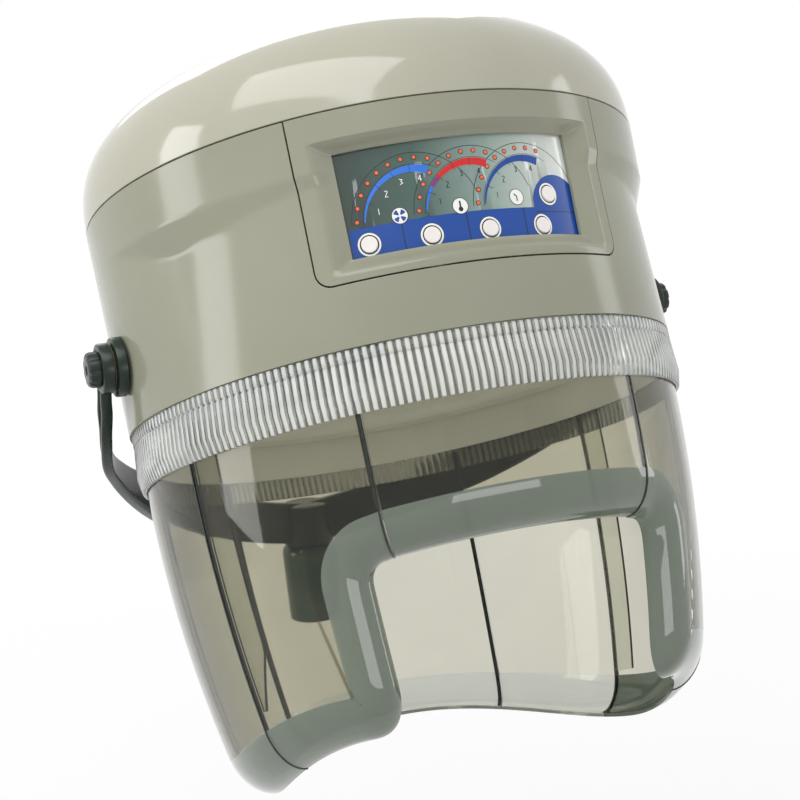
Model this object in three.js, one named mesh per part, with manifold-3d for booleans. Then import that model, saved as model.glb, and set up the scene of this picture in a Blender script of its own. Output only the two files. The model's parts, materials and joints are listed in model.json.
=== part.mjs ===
// Hood hair dryer head on its stand fork. Millimetres, +Z up, the face opening towards -Y.
// The origin is the centre of the stand socket's mouth, where the pole enters.
import * as THREE from "three";
import { mergeVertices } from "three/addons/utils/BufferGeometryUtils.js";
import Module from "manifold-3d";

const wasm = await Module();
wasm.setup();

// ---------------------------------------------------------------- driving dimensions
const SEAT_GAP = 0.3; // clearance where one piece rests on another
const SHUT_LINE = 1; // gap shown between outer mouldings
const RUNNING_GAP = 0.5; // clearance round a moving piece

// The round mouldings all follow the clear shroud's outer radius at its top.
const SHROUD_TOP_RADIUS = 186;
const BODY_PROUD = 5.2; // the body's bottom edge stands out from the shroud
const BODY_DRAFT = 4.8; // the body is this much wider at the seam

// Outer body: depths are measured downwards from the seam under the cover.
const COVER_HEIGHT = 100;
const COVER_ROUNDNESS = 2.8;
const COVER_SKIRT = 8;
const COVER_SKIRT_WALL = 2;
const SHELL_WALL = 3;
const BODY_HEIGHT = 145.6;
const STEP_TOP = 36; // the side step starts here
const STEP_FOOT = 56;
const STEP_DEPTH = 7;
const STEP_DEPTH_AT_PANEL = 3;
const STEP_FULL_ANGLE = 60;
const STEP_END_ANGLE = 84;
const STEP_LEFT_AT_BOTTOM = 0.2; // share of the step still there at the bottom edge

// Control panel
const PANEL_HALF_ANGLE = 32.2;
const PANEL_RISE = 39.1; // its bottom edge above the body's bottom edge
const RECESS_HALF_ANGLE = 28.8;
const RECESS_TOP = 18;
const RECESS_LEDGE = 5.5; // from the recess to the panel's bottom edge
const WINDOW_HALF_ANGLE = 25;
const WINDOW_TOP = 25;
const WINDOW_SILL = 9.5; // from the window to the foot of the recess
const RECESS_DEPTH = 9;
const BEZEL_WALL = 2;
const DISPLAY_THICKNESS = 2;
const DISPLAY_MARGIN_ANGLE = 2;
const DISPLAY_MARGIN = 3;

// Push buttons
const BUTTON_RADIUS = 5.2;
const BUTTON_PROUD = 1.2;
const BUTTON_FLANGE_RADIUS = 6.6;
const BUTTON_FLANGE = 1.2;
const BUTTON_STEM_RADIUS = 2.5;
const BUTTON_STEM = 4.5;
const BUTTON_TRAVEL = 1;
const BUTTONS = [
  { name: "speed_button", angle: -21.3, rise: 7.7 },
  { name: "heat_button", angle: -9, rise: 6.8 },
  { name: "time_button", angle: 3.1, rise: 6.7 },
  { name: "stop_button", angle: 15.5, rise: 6.7 },
  { name: "start_button", angle: 18.4, rise: 27.1 },
]; // each rise is measured from the window's foot
const SWITCH_PLATE = 2;
const SWITCH_POST_RADIUS = 3;
const SWITCH_POST_INSET_ANGLE = 1.2;
const BOARD_THICKNESS = 1.6;
const BOARD_HALF_WIDTH = 68;
const BOARD_INSET = 1.5; // inside the window, top and bottom
const BOARD_BACK_INSET = 40; // behind the shroud's radius
const BOARD_POST_RADIUS = 3;
const BOARD_POST_INSET = 8;

// Ribbed clear collar
const COLLAR_TOP_PROUD = 3.8; // of the shroud
const COLLAR_KINK_PROUD = 5;
const COLLAR_FOOT_PROUD = 2.4;
const COLLAR_GROOVE = 1;
const COLLAR_GROOVE_DROP = 8.1; // below the body
const COLLAR_KINK_DROP = 28.9;
const COLLAR_FOOT_DROP = 39.4;

// Clear shroud
const SHROUD_TOP_DROP = 4.4; // below the body
const SHROUD_WALL = 2.5;
const SHROUD_STRAIGHT_DROP = 26.4; // upright down to here
const SHROUD_TAPER = 29.5; // how far the wall has drawn in at the lowest lobe
const SHROUD_TAPER_POWER = 2.05;
const ROLL_WIDTH = 27; // height of the rolled edge
const ROLL_DEPTH = 20; // how far the rolled edge turns inwards
const UNROLL_INSET = 8; // inside the top radius, where distances along the edge are measured
const FACE_LIP_DEPTH = 268.5;
const FACE_LIP_DROOP = 3.5;
const FACE_HALF_WIDTH = 110; // along the edge
const FACE_TOP_FILLET = 14;
const FACE_SIDE_FOOT = 345;
const FACE_FOOT_FILLET = 30;
const LOBE_DEPTH = 398.5;
const LOBE_ANGLE = 100;
const NAPE_DEPTH = 366;
const FLAP_HALF_ANGLE = 29.2;
const FRONT_SEAM_ANGLE = 69.5;
const REAR_SEAM_ANGLE = 113.5;
const NAPE_SEAM_ANGLE = 148.5;
const SEAM_GAP = 0.6;
const STRIP_ANGLE = 6.6;
const STRIP_THICKNESS = 2;
const STRIP_FIT = 1.6; // clears the wall's facets
const STRIP_STRAIGHT_DEPTH = 303;
const STRIP_POINT_DEPTH = 345;
const FLAP_TRAVEL = 40;

// Inner structure
const BASE_PLATE_RISE = 6.6; // above the body's bottom edge
const BASE_PLATE = 3;
const BASE_LEDGE = 26; // the plate's hole is this far inside the shroud's radius
const BASE_SKIRT_DROP = 24.4; // below the body
const FLAP_SECTOR_ANGLE = 31.5;
const GUIDE_RISE = 33.6; // above the body's bottom edge
const GUIDE_DROP = 20.4; // below it
const GUIDE_INNER_ANGLE = 22;
const GUIDE_WALL = 2.5;
const SKIRT_WALL = 2.5;
const DECK_RISE = 49.6; // above the body's bottom edge
const DECK_THICKNESS = 3;
const DECK_FRONT_INSET = 8; // inside the shroud's radius
const FAN_HOLE_RADIUS = 63;
const PILLAR_RADIUS = 6;
const PILLAR_INSET = 16;
const PILLAR_ANGLES = [48, 132, 228, 312];
const DOME_FLANGE_INSET = 9; // inside the shroud's radius
const DOME_LEDGE = 21; // width of the dome's flange
const DOME_RISE = 25;
const DOME_WALL = 2;
const DOME_HOLE_RADIUS = 8;
const DOME_HOLE_INSET = 44; // inside the dome's radius
const DOME_HOLES = 8;

// Fan and heater
const IMPELLER_RADIUS = 60;
const IMPELLER_PLATE = 2.5;
const IMPELLER_HEIGHT = 24;
const IMPELLER_HUB_RADIUS = 11;
const BLADE_COUNT = 9;
const BLADE_THICKNESS = 2.4;
const BLADE_INNER_RADIUS = 24;
const BLADE_LEAN = 28;
const SHAFT_RADIUS = 4;
const SHAFT_IN_MOTOR = 30;
const MOTOR_RADIUS = 32;
const MOTOR_HEIGHT = 48;
const BRACKET_PLATE = 3;
const BRACKET_PLATE_RADIUS = 38;
const BRACKET_HEIGHT = 24; // clear space between the fan deck and the motor plate
const BRACKET_LEG_CIRCLE = 78;
const BRACKET_LEG_WIDTH = 12;
const HEATER_INNER_RADIUS = 92;
const HEATER_OUTER_RADIUS = 132;
const HEATER_PLATE = 3;
const COIL_RING_RADIUS = 112;
const COIL_RADIUS = 4.5;
const CUTOUT_RADIUS = 9;
const CUTOUT_HEIGHT = 6;
const CUTOUT_CIRCLE = 78;

// Pivots: the fork holds the hood here
const PIVOT_RISE = 41.6; // above the body's bottom edge
const PIVOT_FORWARD = 6; // ahead of the hood's axis
const REST_PITCH = 20; // the hood leans back this far
const HUB_RADIUS = 20;
const HUB_THICKNESS = 6.5;
const HUB_SPIGOT_RADIUS = 12;
const BRACKET_SIZE = 44;
const BRACKET_THICKNESS = 6;
const PIVOT_BOLT_RADIUS = 4;
const BOLT_HEAD_RADIUS = 7.5;
const BOLT_HEAD = 5;
const WASHER_RADIUS = 15;
const WASHER_THICKNESS = 0.8;
const KNOB_RADIUS = 12;
const KNOB_THICKNESS = 8;
const KNOB_FLUTES = 8;
const KNOB_FLUTE_RADIUS = 2.4;

// Fork
const ARM_THICKNESS = 7.5;
const ARM_WIDTH = 14;
const ARM_BOSS_RADIUS = 17;
const ARM_LENGTH = 60;
const ARM_LEAN = 18.8; // degrees behind vertical
const LOOP_FALL = 29.8; // degrees below level
const LOOP_LENGTH = 255; // along its slope, from the arms to the back
const LOOP_POWER = 1.46;
const LOOP_WIDTH = 34;
const LOOP_THICKNESS = 12;
const FORK_CHAMFER = 0.28; // share of the thickness taken off each corner
const REAR_HUB_RADIUS = 21;
const SOCKET_LENGTH = 65;
const SOCKET_TOP_RADIUS = 23;
const SOCKET_MOUTH_RADIUS = 21;
const SOCKET_BORE_RADIUS = 13;
const SOCKET_BORE_DEPTH = 56;
const SOCKET_SPIGOT_RADIUS = 14;
const SOCKET_SPIGOT = 18;
const SOCKET_SHOULDER = 8;
const LOCK_SCREW_RADIUS = 3;
const LOCK_SCREW_HEIGHT = 26;
const LOCK_HEAD_RADIUS = 7;
const LOCK_HEAD = 9;
const LOCK_HEAD_STANDOFF = 1;

// Air intake and cable gland at the back
const SLOT_LENGTH = 36;
const SLOT_RISE = 8; // above the fan deck
const SLOT_ANGLE = 2.2;
const SLOT_COUNT = 9;
const FILTER_THICKNESS = 4;
const FILTER_MARGIN = 3;
const GLAND_RISE = 23.6; // above the body's bottom edge
const GLAND_HOLE_RADIUS = 8;
const GLAND_FLANGE_RADIUS = 11;
const GLAND_BORE_RADIUS = 4;
const GLAND_OUT = 14;
const GLAND_IN = 5;

// Electrical boxes on the fan deck
const TRANSFORMER = { width: 46, depth: 38, height: 36, angle: 140, inset: 56 };
const TERMINALS = { width: 40, depth: 20, height: 18, angle: 215, inset: 46 };

// Facets
const ROUND_STEP = 7.5; // degrees between the columns of round mouldings
const COVER_SEGMENTS = 48;
const COVER_ARC_STEP = 18;
const SMALL_SEGMENTS = 20;
const HOLE_SEGMENTS = 12;
const POST_SEGMENTS = 8;
const OVERLAP = 0.5; // how far joined blanks run into each other
const CUT_PAST = 5; // how far a cutter runs past the faces it cuts

// ---------------------------------------------------------------- values worked out from them
const DEG = Math.PI / 180;
const BODY_BOTTOM_RADIUS = SHROUD_TOP_RADIUS + BODY_PROUD;
const SEAM_RADIUS = BODY_BOTTOM_RADIUS + BODY_DRAFT;
const COVER_BASE = SHUT_LINE / 2;
const BODY_TOP = SHUT_LINE / 2;
const COLLAR_TOP_RADIUS = SHROUD_TOP_RADIUS + COLLAR_TOP_PROUD;
const COLLAR_KINK_RADIUS = SHROUD_TOP_RADIUS + COLLAR_KINK_PROUD;
const COLLAR_FOOT_RADIUS = SHROUD_TOP_RADIUS + COLLAR_FOOT_PROUD;
const COLLAR_GROOVE_DEPTH = BODY_HEIGHT + COLLAR_GROOVE_DROP;
const COLLAR_KINK_DEPTH = BODY_HEIGHT + COLLAR_KINK_DROP;
const COLLAR_FOOT_DEPTH = BODY_HEIGHT + COLLAR_FOOT_DROP;
const SHROUD_TOP_DEPTH = BODY_HEIGHT + SHROUD_TOP_DROP;
const SHROUD_STRAIGHT_DEPTH = BODY_HEIGHT + SHROUD_STRAIGHT_DROP;
const UNROLL_RADIUS = SHROUD_TOP_RADIUS - UNROLL_INSET;
const BASE_PLATE_DEPTH = BODY_HEIGHT - BASE_PLATE_RISE;
const BASE_HOLE_RADIUS = SHROUD_TOP_RADIUS - BASE_LEDGE;
const BASE_SKIRT_FOOT = BODY_HEIGHT + BASE_SKIRT_DROP;
const GUIDE_TOP = BODY_HEIGHT - GUIDE_RISE;
const GUIDE_FOOT = BODY_HEIGHT + GUIDE_DROP;
const DECK_DEPTH = BODY_HEIGHT - DECK_RISE;
const DECK_FRONT_RADIUS = SHROUD_TOP_RADIUS - DECK_FRONT_INSET;
const PILLAR_CIRCLE = SHROUD_TOP_RADIUS - PILLAR_INSET;
const DOME_FLANGE_RADIUS = SHROUD_TOP_RADIUS - DOME_FLANGE_INSET;
const DOME_RADIUS = DOME_FLANGE_RADIUS - DOME_LEDGE;
const DOME_HOLE_CIRCLE = DOME_RADIUS - DOME_HOLE_INSET;
const PANEL_HEIGHT = BODY_HEIGHT - PANEL_RISE;
const RECESS_FOOT = PANEL_HEIGHT - RECESS_LEDGE;
const WINDOW_FOOT = RECESS_FOOT - WINDOW_SILL;
const SLOT_FOOT = DECK_DEPTH - SLOT_RISE;
const SLOT_TOP = SLOT_FOOT - SLOT_LENGTH;
const BOARD_TOP = WINDOW_TOP + BOARD_INSET;
const BOARD_FOOT = WINDOW_FOOT - BOARD_INSET;
const BOARD_BACK_FROM_AXIS = SHROUD_TOP_RADIUS - BOARD_BACK_INSET;
const PIVOT_DEPTH = BODY_HEIGHT - PIVOT_RISE;
const GLAND_DEPTH = BODY_HEIGHT - GLAND_RISE;
const COLLAR_TOP_DEPTH = BODY_HEIGHT + SEAT_GAP;
// A seat between round pieces that clears their facets too.
const ROUND_FIT = SEAT_GAP + SEAM_RADIUS * (1 - Math.cos((ROUND_STEP / 2) * DEG));
const BUTTON_FLANGE_SEAT = DISPLAY_THICKNESS + 2 * ROUND_FIT; // behind the display's face
const COLLAR_INNER_RADIUS = SHROUD_TOP_RADIUS + ROUND_FIT;
const SKIRT_RADIUS = SHROUD_TOP_RADIUS - SHROUD_WALL - ROUND_FIT;
// The raised flap passes the guides where its wall is already drawing in.
const GUIDE_RADIUS = wallRadius(GUIDE_FOOT + FLAP_TRAVEL) - SHROUD_WALL - ROUND_FIT;
const FLAP_EDGE_GAP = RUNNING_GAP / SHROUD_TOP_RADIUS / DEG;
const HUB_INNER_X = bodyBaseRadius(PIVOT_DEPTH - HUB_RADIUS) + SEAT_GAP;
const HUB_OUTER_X = HUB_INNER_X + HUB_THICKNESS;
const WASHER_X = HUB_OUTER_X + SEAT_GAP;
const ARM_INNER_X = WASHER_X + WASHER_THICKNESS + SEAT_GAP;
const ARM_X = ARM_INNER_X + ARM_THICKNESS / 2;
const ARM_OUTER_X = ARM_INNER_X + ARM_THICKNESS;
const KNOB_X = ARM_OUTER_X + SEAT_GAP;
const BRACKET_REACH = BRACKET_SIZE / 2 + PIVOT_FORWARD; // its corner nearest the face
const BRACKET_CORNER_RADIUS = shellInnerRadius(90 - degreesOf(BRACKET_REACH, SEAM_RADIUS), BODY_HEIGHT);
const BRACKET_OUTER_X = Math.sqrt((BRACKET_CORNER_RADIUS - ROUND_FIT) ** 2 - BRACKET_REACH ** 2);
const SPIGOT_INNER_X = BRACKET_OUTER_X + SEAT_GAP;
const BRACKET_INNER_X = BRACKET_OUTER_X - BRACKET_THICKNESS;
const ARM_FOOT = {
  y: ARM_LENGTH * Math.sin(ARM_LEAN * DEG),
  z: -ARM_LENGTH * Math.cos(ARM_LEAN * DEG),
};
const FORK_REACH = ARM_FOOT.y + LOOP_LENGTH * Math.cos(LOOP_FALL * DEG);
const FORK_DROP = -ARM_FOOT.z + LOOP_LENGTH * Math.sin(LOOP_FALL * DEG);
const REAR_HUB_FOOT = SOCKET_LENGTH + SEAT_GAP;
const LOOP_REAR_Z = REAR_HUB_FOOT + LOOP_WIDTH / 2;
const PIVOT = new THREE.Vector3(0, -FORK_REACH, LOOP_REAR_Z + FORK_DROP);

// ---------------------------------------------------------------- materials
const finish = (color, roughness, metalness = 0, opacity = 1) =>
  new THREE.MeshStandardMaterial({
    color,
    roughness,
    metalness,
    opacity,
    transparent: opacity < 1,
  });
const SHELL_PLASTIC = finish(0xb4b59c, 0.25);
const COVER_PLASTIC = finish(0xc0bfa8, 0.22);
const FORK_PAINT = finish(0x24382c, 0.4);
const SOCKET_PAINT = finish(0x2c4a3a, 0.35);
const CLEAR_SMOKED = finish(0x8f9a8c, 0.08, 0, 0.35);
const DISPLAY_FACE = finish(0x4c6a5c, 0.15);
const BUTTON_WHITE = finish(0xece8e2, 0.35);
const STEEL = finish(0x9a9d9c, 0.3, 1);
const GALVANISED = finish(0xa8abac, 0.45, 1);
const BOARD_GREEN = finish(0x1e5a34, 0.5);
const BLACK_PLASTIC = finish(0x1c1e1d, 0.5);
const INNER_PLASTIC = finish(0xd8d6c8, 0.4);
const MICA = finish(0xa89a78, 0.6);
const COPPER_WIRE = finish(0x9c7048, 0.35, 1);
const FILTER_FOAM = finish(0x30322f, 0.95);
const FRICTION_FIBRE = finish(0x5a4a3a, 0.8);

// ---------------------------------------------------------------- closed-solid helpers
function signedVolume(geometry) {
  const flat = geometry.index ? geometry.toNonIndexed() : geometry;
  const at = flat.getAttribute("position");
  const a = new THREE.Vector3();
  const b = new THREE.Vector3();
  const c = new THREE.Vector3();
  let sum = 0;
  for (let i = 0; i < at.count; i += 3) {
    a.fromBufferAttribute(at, i);
    b.fromBufferAttribute(at, i + 1);
    c.fromBufferAttribute(at, i + 2);
    sum += a.dot(b.cross(c));
  }
  return sum;
}

// Vertices merged and faces turned outwards.
function closed(geometry) {
  const bare = geometry.clone();
  bare.deleteAttribute("normal");
  bare.deleteAttribute("uv");
  const merged = mergeVertices(bare);
  if (signedVolume(merged) < 0) {
    const index = merged.index.array;
    for (let i = 0; i < index.length; i += 3) {
      [index[i + 1], index[i + 2]] = [index[i + 2], index[i + 1]];
    }
  }
  return merged;
}

function solidOf(geometry) {
  const ready = closed(geometry);
  return new wasm.Manifold(
    new wasm.Mesh({
      numProp: 3,
      vertProperties: new Float32Array(ready.getAttribute("position").array),
      triVerts: new Uint32Array(ready.index.array),
    }),
  );
}

function geometryOf(solid) {
  const mesh = solid.getMesh();
  const geometry = new THREE.BufferGeometry();
  const positions = new Float32Array(mesh.vertProperties);
  geometry.setAttribute("position", new THREE.BufferAttribute(positions, 3));
  geometry.setIndex(new THREE.BufferAttribute(new Uint32Array(mesh.triVerts), 1));
  return geometry;
}

const joined = (geometries) =>
  geometryOf(geometries.map(solidOf).reduce((all, next) => all.add(next)));

const cut = (geometry, cutters) =>
  geometryOf(cutters.map(solidOf).reduce((left, next) => left.subtract(next), solidOf(geometry)));

// A rod along an axis, from one place on it to another.
function rod(axis, from, to, radius, segments = SMALL_SEGMENTS, endRadius = radius) {
  const geometry = new THREE.CylinderGeometry(endRadius, radius, to - from, segments);
  geometry.translate(0, (from + to) / 2, 0);
  if (axis === "x") {
    geometry.rotateZ(-Math.PI / 2);
  }
  if (axis === "z") {
    geometry.rotateX(Math.PI / 2);
  }
  return geometry;
}

function block(x0, x1, y0, y1, z0, z1) {
  const geometry = new THREE.BoxGeometry(x1 - x0, y1 - y0, z1 - z0);
  return geometry.translate((x0 + x1) / 2, (y0 + y1) / 2, (z0 + z1) / 2);
}

// A profile of [radius, height] turned round +Z.
function turned(profile, segments) {
  const points = profile.map(([radius, height]) => new THREE.Vector2(radius, height));
  return closed(new THREE.LatheGeometry(points, segments).rotateX(Math.PI / 2));
}

const turnedRing = (profile, segments) => turned([...profile, profile[0]], segments);

// A point at an angle from the front, at a radius and a depth below the seam.
const around = (angle, radius, depth) => [
  radius * Math.sin(angle * DEG),
  -radius * Math.cos(angle * DEG),
  -depth,
];

// A curved or flat sheet with thickness: columns run along it and rows run down it.
function sheet(columns, rows, outer, inner, { wrap = false, present = () => true } = {}) {
  const across = columns.length;
  const down = rows.length;
  const positions = [];
  const faces = [];
  for (const column of columns) {
    for (const row of rows) {
      positions.push(...outer(column, row), ...inner(column, row));
    }
  }
  const out = (i, j) => 2 * ((i % across) * down + j);
  const inn = (i, j) => out(i, j) + 1;
  const cellsAcross = wrap ? across : across - 1;
  const isThere = (i, j) => {
    const column = wrap ? (i + cellsAcross) % cellsAcross : i;
    const inside = column >= 0 && column < cellsAcross && j >= 0 && j < down - 1;
    return inside && present(column, j);
  };
  const quad = (a, b, c, d) => faces.push(a, b, c, a, c, d);
  for (let i = 0; i < cellsAcross; i += 1) {
    for (let j = 0; j < down - 1; j += 1) {
      if (!isThere(i, j)) {
        continue;
      }
      quad(out(i, j), out(i, j + 1), out(i + 1, j + 1), out(i + 1, j));
      quad(inn(i, j), inn(i + 1, j), inn(i + 1, j + 1), inn(i, j + 1));
      if (!isThere(i, j - 1)) {
        quad(out(i, j), out(i + 1, j), inn(i + 1, j), inn(i, j));
      }
      if (!isThere(i, j + 1)) {
        quad(out(i, j + 1), inn(i, j + 1), inn(i + 1, j + 1), out(i + 1, j + 1));
      }
      if (!isThere(i - 1, j)) {
        quad(out(i, j), inn(i, j), inn(i, j + 1), out(i, j + 1));
      }
      if (!isThere(i + 1, j)) {
        quad(out(i + 1, j), out(i + 1, j + 1), inn(i + 1, j + 1), inn(i + 1, j));
      }
    }
  }
  const geometry = new THREE.BufferGeometry();
  geometry.setAttribute("position", new THREE.BufferAttribute(new Float32Array(positions), 3));
  geometry.setIndex(faces);
  return closed(geometry.toNonIndexed());
}

// Even steps from one value to another, both ends included.
function steps(from, to, most) {
  const count = Math.max(1, Math.ceil((to - from) / most - 1e-9));
  return Array.from({ length: count + 1 }, (_, i) => from + ((to - from) * i) / count);
}

// Values sorted, with near doubles left out.
function lines(...values) {
  const sorted = values.flat().sort((a, b) => a - b);
  return sorted.filter((value, i) => i === 0 || value - sorted[i - 1] > 1e-3);
}

// Even lines through a span, made to pass through the given marks.
function marked(from, to, most, marks) {
  const inside = lines(from, marks.filter((mark) => mark > from && mark < to), to);
  return lines(...inside.slice(1).map((end, i) => steps(inside[i], end, most)));
}

// ---------------------------------------------------------------- the body's outer form
function bodyBaseRadius(depth) {
  return SEAM_RADIUS - ((SEAM_RADIUS - BODY_BOTTOM_RADIUS) * depth) / BODY_HEIGHT;
}

// How far the side step sets the body in.
function stepInset(angle, depth) {
  const off = Math.abs(angle > 180 ? angle - 360 : angle);
  const clamp = THREE.MathUtils.clamp;
  const grow = clamp((off - PANEL_HALF_ANGLE) / (STEP_FULL_ANGLE - PANEL_HALF_ANGLE), 0, 1);
  const fade = clamp((STEP_END_ANGLE - off) / (STEP_END_ANGLE - STEP_FULL_ANGLE), 0, 1);
  const full = (STEP_DEPTH_AT_PANEL + (STEP_DEPTH - STEP_DEPTH_AT_PANEL) * grow) * fade;
  const slope = (Math.max(0, depth - STEP_TOP) * STEP_DEPTH) / (STEP_FOOT - STEP_TOP);
  const below = clamp((depth - STEP_FOOT) / (BODY_HEIGHT - STEP_FOOT), 0, 1);
  return Math.min(full, slope) * (1 - below * (1 - STEP_LEFT_AT_BOTTOM));
}

function bodyRadius(angle, depth) {
  return bodyBaseRadius(depth) - stepInset(angle, depth);
}

function shellInnerRadius(angle, depth) {
  return bodyRadius(angle, depth) - SHELL_WALL;
}

const glassRadius = (depth) => bodyBaseRadius(depth) - RECESS_DEPTH;
const displayRadius = (depth) => glassRadius(depth) - BEZEL_WALL - ROUND_FIT;

function degreesOf(distance, radius) {
  return distance / radius / DEG;
}

// ---------------------------------------------------------------- cover and body
function topCover() {
  const arc = (radius, height, base, step) =>
    steps(0, 90, step).map((turn) => [
      radius * Math.sin(turn * DEG),
      base + height * Math.cos(turn * DEG) ** (2 / COVER_ROUNDNESS),
    ]);
  const skirtOuter = shellInnerRadius(180, COVER_SKIRT) - ROUND_FIT;
  const skirtInner = skirtOuter - COVER_SKIRT_WALL;
  const outer = arc(SEAM_RADIUS, COVER_HEIGHT - COVER_BASE, COVER_BASE, COVER_ARC_STEP / 2);
  const innerHeight = COVER_HEIGHT - SHELL_WALL - COVER_BASE;
  const inner = arc(skirtInner, innerHeight, COVER_BASE, COVER_ARC_STEP).reverse();
  const skirt = [
    [skirtOuter, COVER_BASE],
    [skirtOuter, -COVER_SKIRT],
    [skirtInner, -COVER_SKIRT],
  ];
  return turned([...outer, ...skirt, ...inner], COVER_SEGMENTS);
}

const slotSpan = SLOT_ANGLE * (2 * SLOT_COUNT - 1);
const slotStart = 180 - slotSpan / 2;
const slotLines = Array.from({ length: 2 * SLOT_COUNT }, (_, i) => slotStart + i * SLOT_ANGLE);

function isSlot(angle, depth) {
  const place = (angle - slotStart) / SLOT_ANGLE;
  const inSlot = place > 0 && place < 2 * SLOT_COUNT - 1 && Math.floor(place) % 2 === 0;
  return inSlot && depth > SLOT_TOP && depth < SLOT_FOOT;
}

function mainShell() {
  const openAngle = PANEL_HALF_ANGLE + degreesOf(SHUT_LINE / 2, SEAM_RADIUS);
  const marks = [openAngle, 360 - openAngle, STEP_FULL_ANGLE, 360 - STEP_FULL_ANGLE];
  const ends = [STEP_END_ANGLE, 360 - STEP_END_ANGLE];
  const columns = marked(0, 360, ROUND_STEP, [...marks, ...ends, ...slotLines]).slice(0, -1);
  const openFoot = PANEL_HEIGHT + SHUT_LINE / 2;
  const rows = lines(BODY_TOP, STEP_TOP, STEP_FOOT, SLOT_TOP, SLOT_FOOT, openFoot, BODY_HEIGHT);
  const middle = (list, i, last) => (list[i] + (list[i + 1] ?? last)) / 2;
  const present = (i, j) => {
    const angle = middle(columns, i, 360);
    const depth = middle(rows, j);
    const off = Math.min(angle, 360 - angle);
    return !(off < openAngle && depth < openFoot) && !isSlot(angle, depth);
  };
  const shell = sheet(
    columns,
    rows,
    (angle, depth) => around(angle, bodyRadius(angle, depth), depth),
    (angle, depth) => around(angle, shellInnerRadius(angle, depth), depth),
    { wrap: true, present },
  );
  const reach = SEAM_RADIUS + CUT_PAST;
  const spigotHole = rod("x", -reach, reach, HUB_SPIGOT_RADIUS + SEAT_GAP);
  spigotHole.translate(0, -PIVOT_FORWARD, -PIVOT_DEPTH);
  const glandHole = rod("y", 0, reach, GLAND_HOLE_RADIUS + SEAT_GAP, HOLE_SEGMENTS);
  glandHole.translate(0, 0, -GLAND_DEPTH);
  return cut(shell, [spigotHole, glandHole]);
}

function intakeFilter() {
  const margin = degreesOf(FILTER_MARGIN, SEAM_RADIUS);
  const columns = steps(slotStart - margin, 360 - slotStart + margin, ROUND_STEP);
  const rows = [SLOT_TOP - FILTER_MARGIN, SLOT_FOOT + FILTER_MARGIN];
  const face = (depth) => bodyBaseRadius(depth) - SHELL_WALL - ROUND_FIT;
  return sheet(
    columns,
    rows,
    (angle, depth) => around(angle, face(depth), depth),
    (angle, depth) => around(angle, face(depth) - FILTER_THICKNESS, depth),
  );
}

function cableGland() {
  const outer = bodyBaseRadius(GLAND_DEPTH - GLAND_FLANGE_RADIUS);
  const inside = outer - SHELL_WALL - GLAND_IN;
  const seat = outer + SEAT_GAP;
  const body = joined([
    rod("y", inside, seat + GLAND_OUT, GLAND_HOLE_RADIUS, HOLE_SEGMENTS, GLAND_BORE_RADIUS * 1.5),
    rod("y", seat, seat + GLAND_IN, GLAND_FLANGE_RADIUS, HOLE_SEGMENTS),
  ]);
  const mouth = seat + GLAND_OUT;
  const bore = rod("y", inside - CUT_PAST, mouth + CUT_PAST, GLAND_BORE_RADIUS, HOLE_SEGMENTS);
  return cut(body, [bore]).translate(0, 0, -GLAND_DEPTH);
}

// ---------------------------------------------------------------- control panel
const smallest = (...values) => Math.min(1, Math.max(0, Math.min(...values)));

function recessShare(angle, depth) {
  return smallest(
    (RECESS_HALF_ANGLE - Math.abs(angle)) / (RECESS_HALF_ANGLE - WINDOW_HALF_ANGLE),
    (depth - RECESS_TOP) / (WINDOW_TOP - RECESS_TOP),
    (RECESS_FOOT - depth) / (RECESS_FOOT - WINDOW_FOOT),
  );
}

function bezelRadius(angle, depth) {
  const share = recessShare(angle, depth);
  return bodyRadius(angle, depth) * (1 - share) + glassRadius(depth) * share;
}

function panelBezel() {
  const edge = PANEL_HALF_ANGLE - degreesOf(SHUT_LINE / 2, SEAM_RADIUS);
  const marks = [RECESS_HALF_ANGLE, WINDOW_HALF_ANGLE];
  const columns = marked(-edge, edge, ROUND_STEP, [...marks, ...marks.map((mark) => -mark)]);
  const foot = PANEL_HEIGHT - SHUT_LINE / 2;
  const upper = [BODY_TOP, RECESS_TOP, WINDOW_TOP, STEP_TOP];
  const rows = lines(...upper, STEP_FOOT, WINDOW_FOOT, RECESS_FOOT, foot);
  const present = (i, j) => {
    const angle = (columns[i] + columns[i + 1]) / 2;
    const depth = (rows[j] + rows[j + 1]) / 2;
    return !(Math.abs(angle) < WINDOW_HALF_ANGLE && depth > WINDOW_TOP && depth < WINDOW_FOOT);
  };
  return sheet(
    columns,
    rows,
    (angle, depth) => around(angle, bezelRadius(angle, depth), depth),
    (angle, depth) => around(angle, bezelRadius(angle, depth) - BEZEL_WALL, depth),
    { present },
  );
}

const displayHalf = WINDOW_HALF_ANGLE + DISPLAY_MARGIN_ANGLE;
const displayRows = [WINDOW_TOP - DISPLAY_MARGIN, WINDOW_FOOT + DISPLAY_MARGIN];

// A sheet behind the window, set back from the display's face.
function panelSheet(setBack, thickness) {
  return sheet(
    steps(-displayHalf, displayHalf, ROUND_STEP),
    displayRows,
    (angle, depth) => around(angle, displayRadius(depth) - setBack, depth),
    (angle, depth) => around(angle, displayRadius(depth) - setBack - thickness, depth),
  );
}

// Turns a piece made along -Y, with its foot at the display's face, to its place on the panel.
function onPanel(geometry, angle, depth) {
  geometry.translate(0, -displayRadius(depth), -depth);
  return geometry.rotateZ(angle * DEG);
}

function displayPanel() {
  const holes = BUTTONS.map(({ angle, rise }) => {
    const hole = rod("y", -CUT_PAST, CUT_PAST, BUTTON_RADIUS + SEAT_GAP, HOLE_SEGMENTS);
    return onPanel(hole, angle, WINDOW_FOOT - rise);
  });
  return cut(panelSheet(0, DISPLAY_THICKNESS), holes);
}

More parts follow.
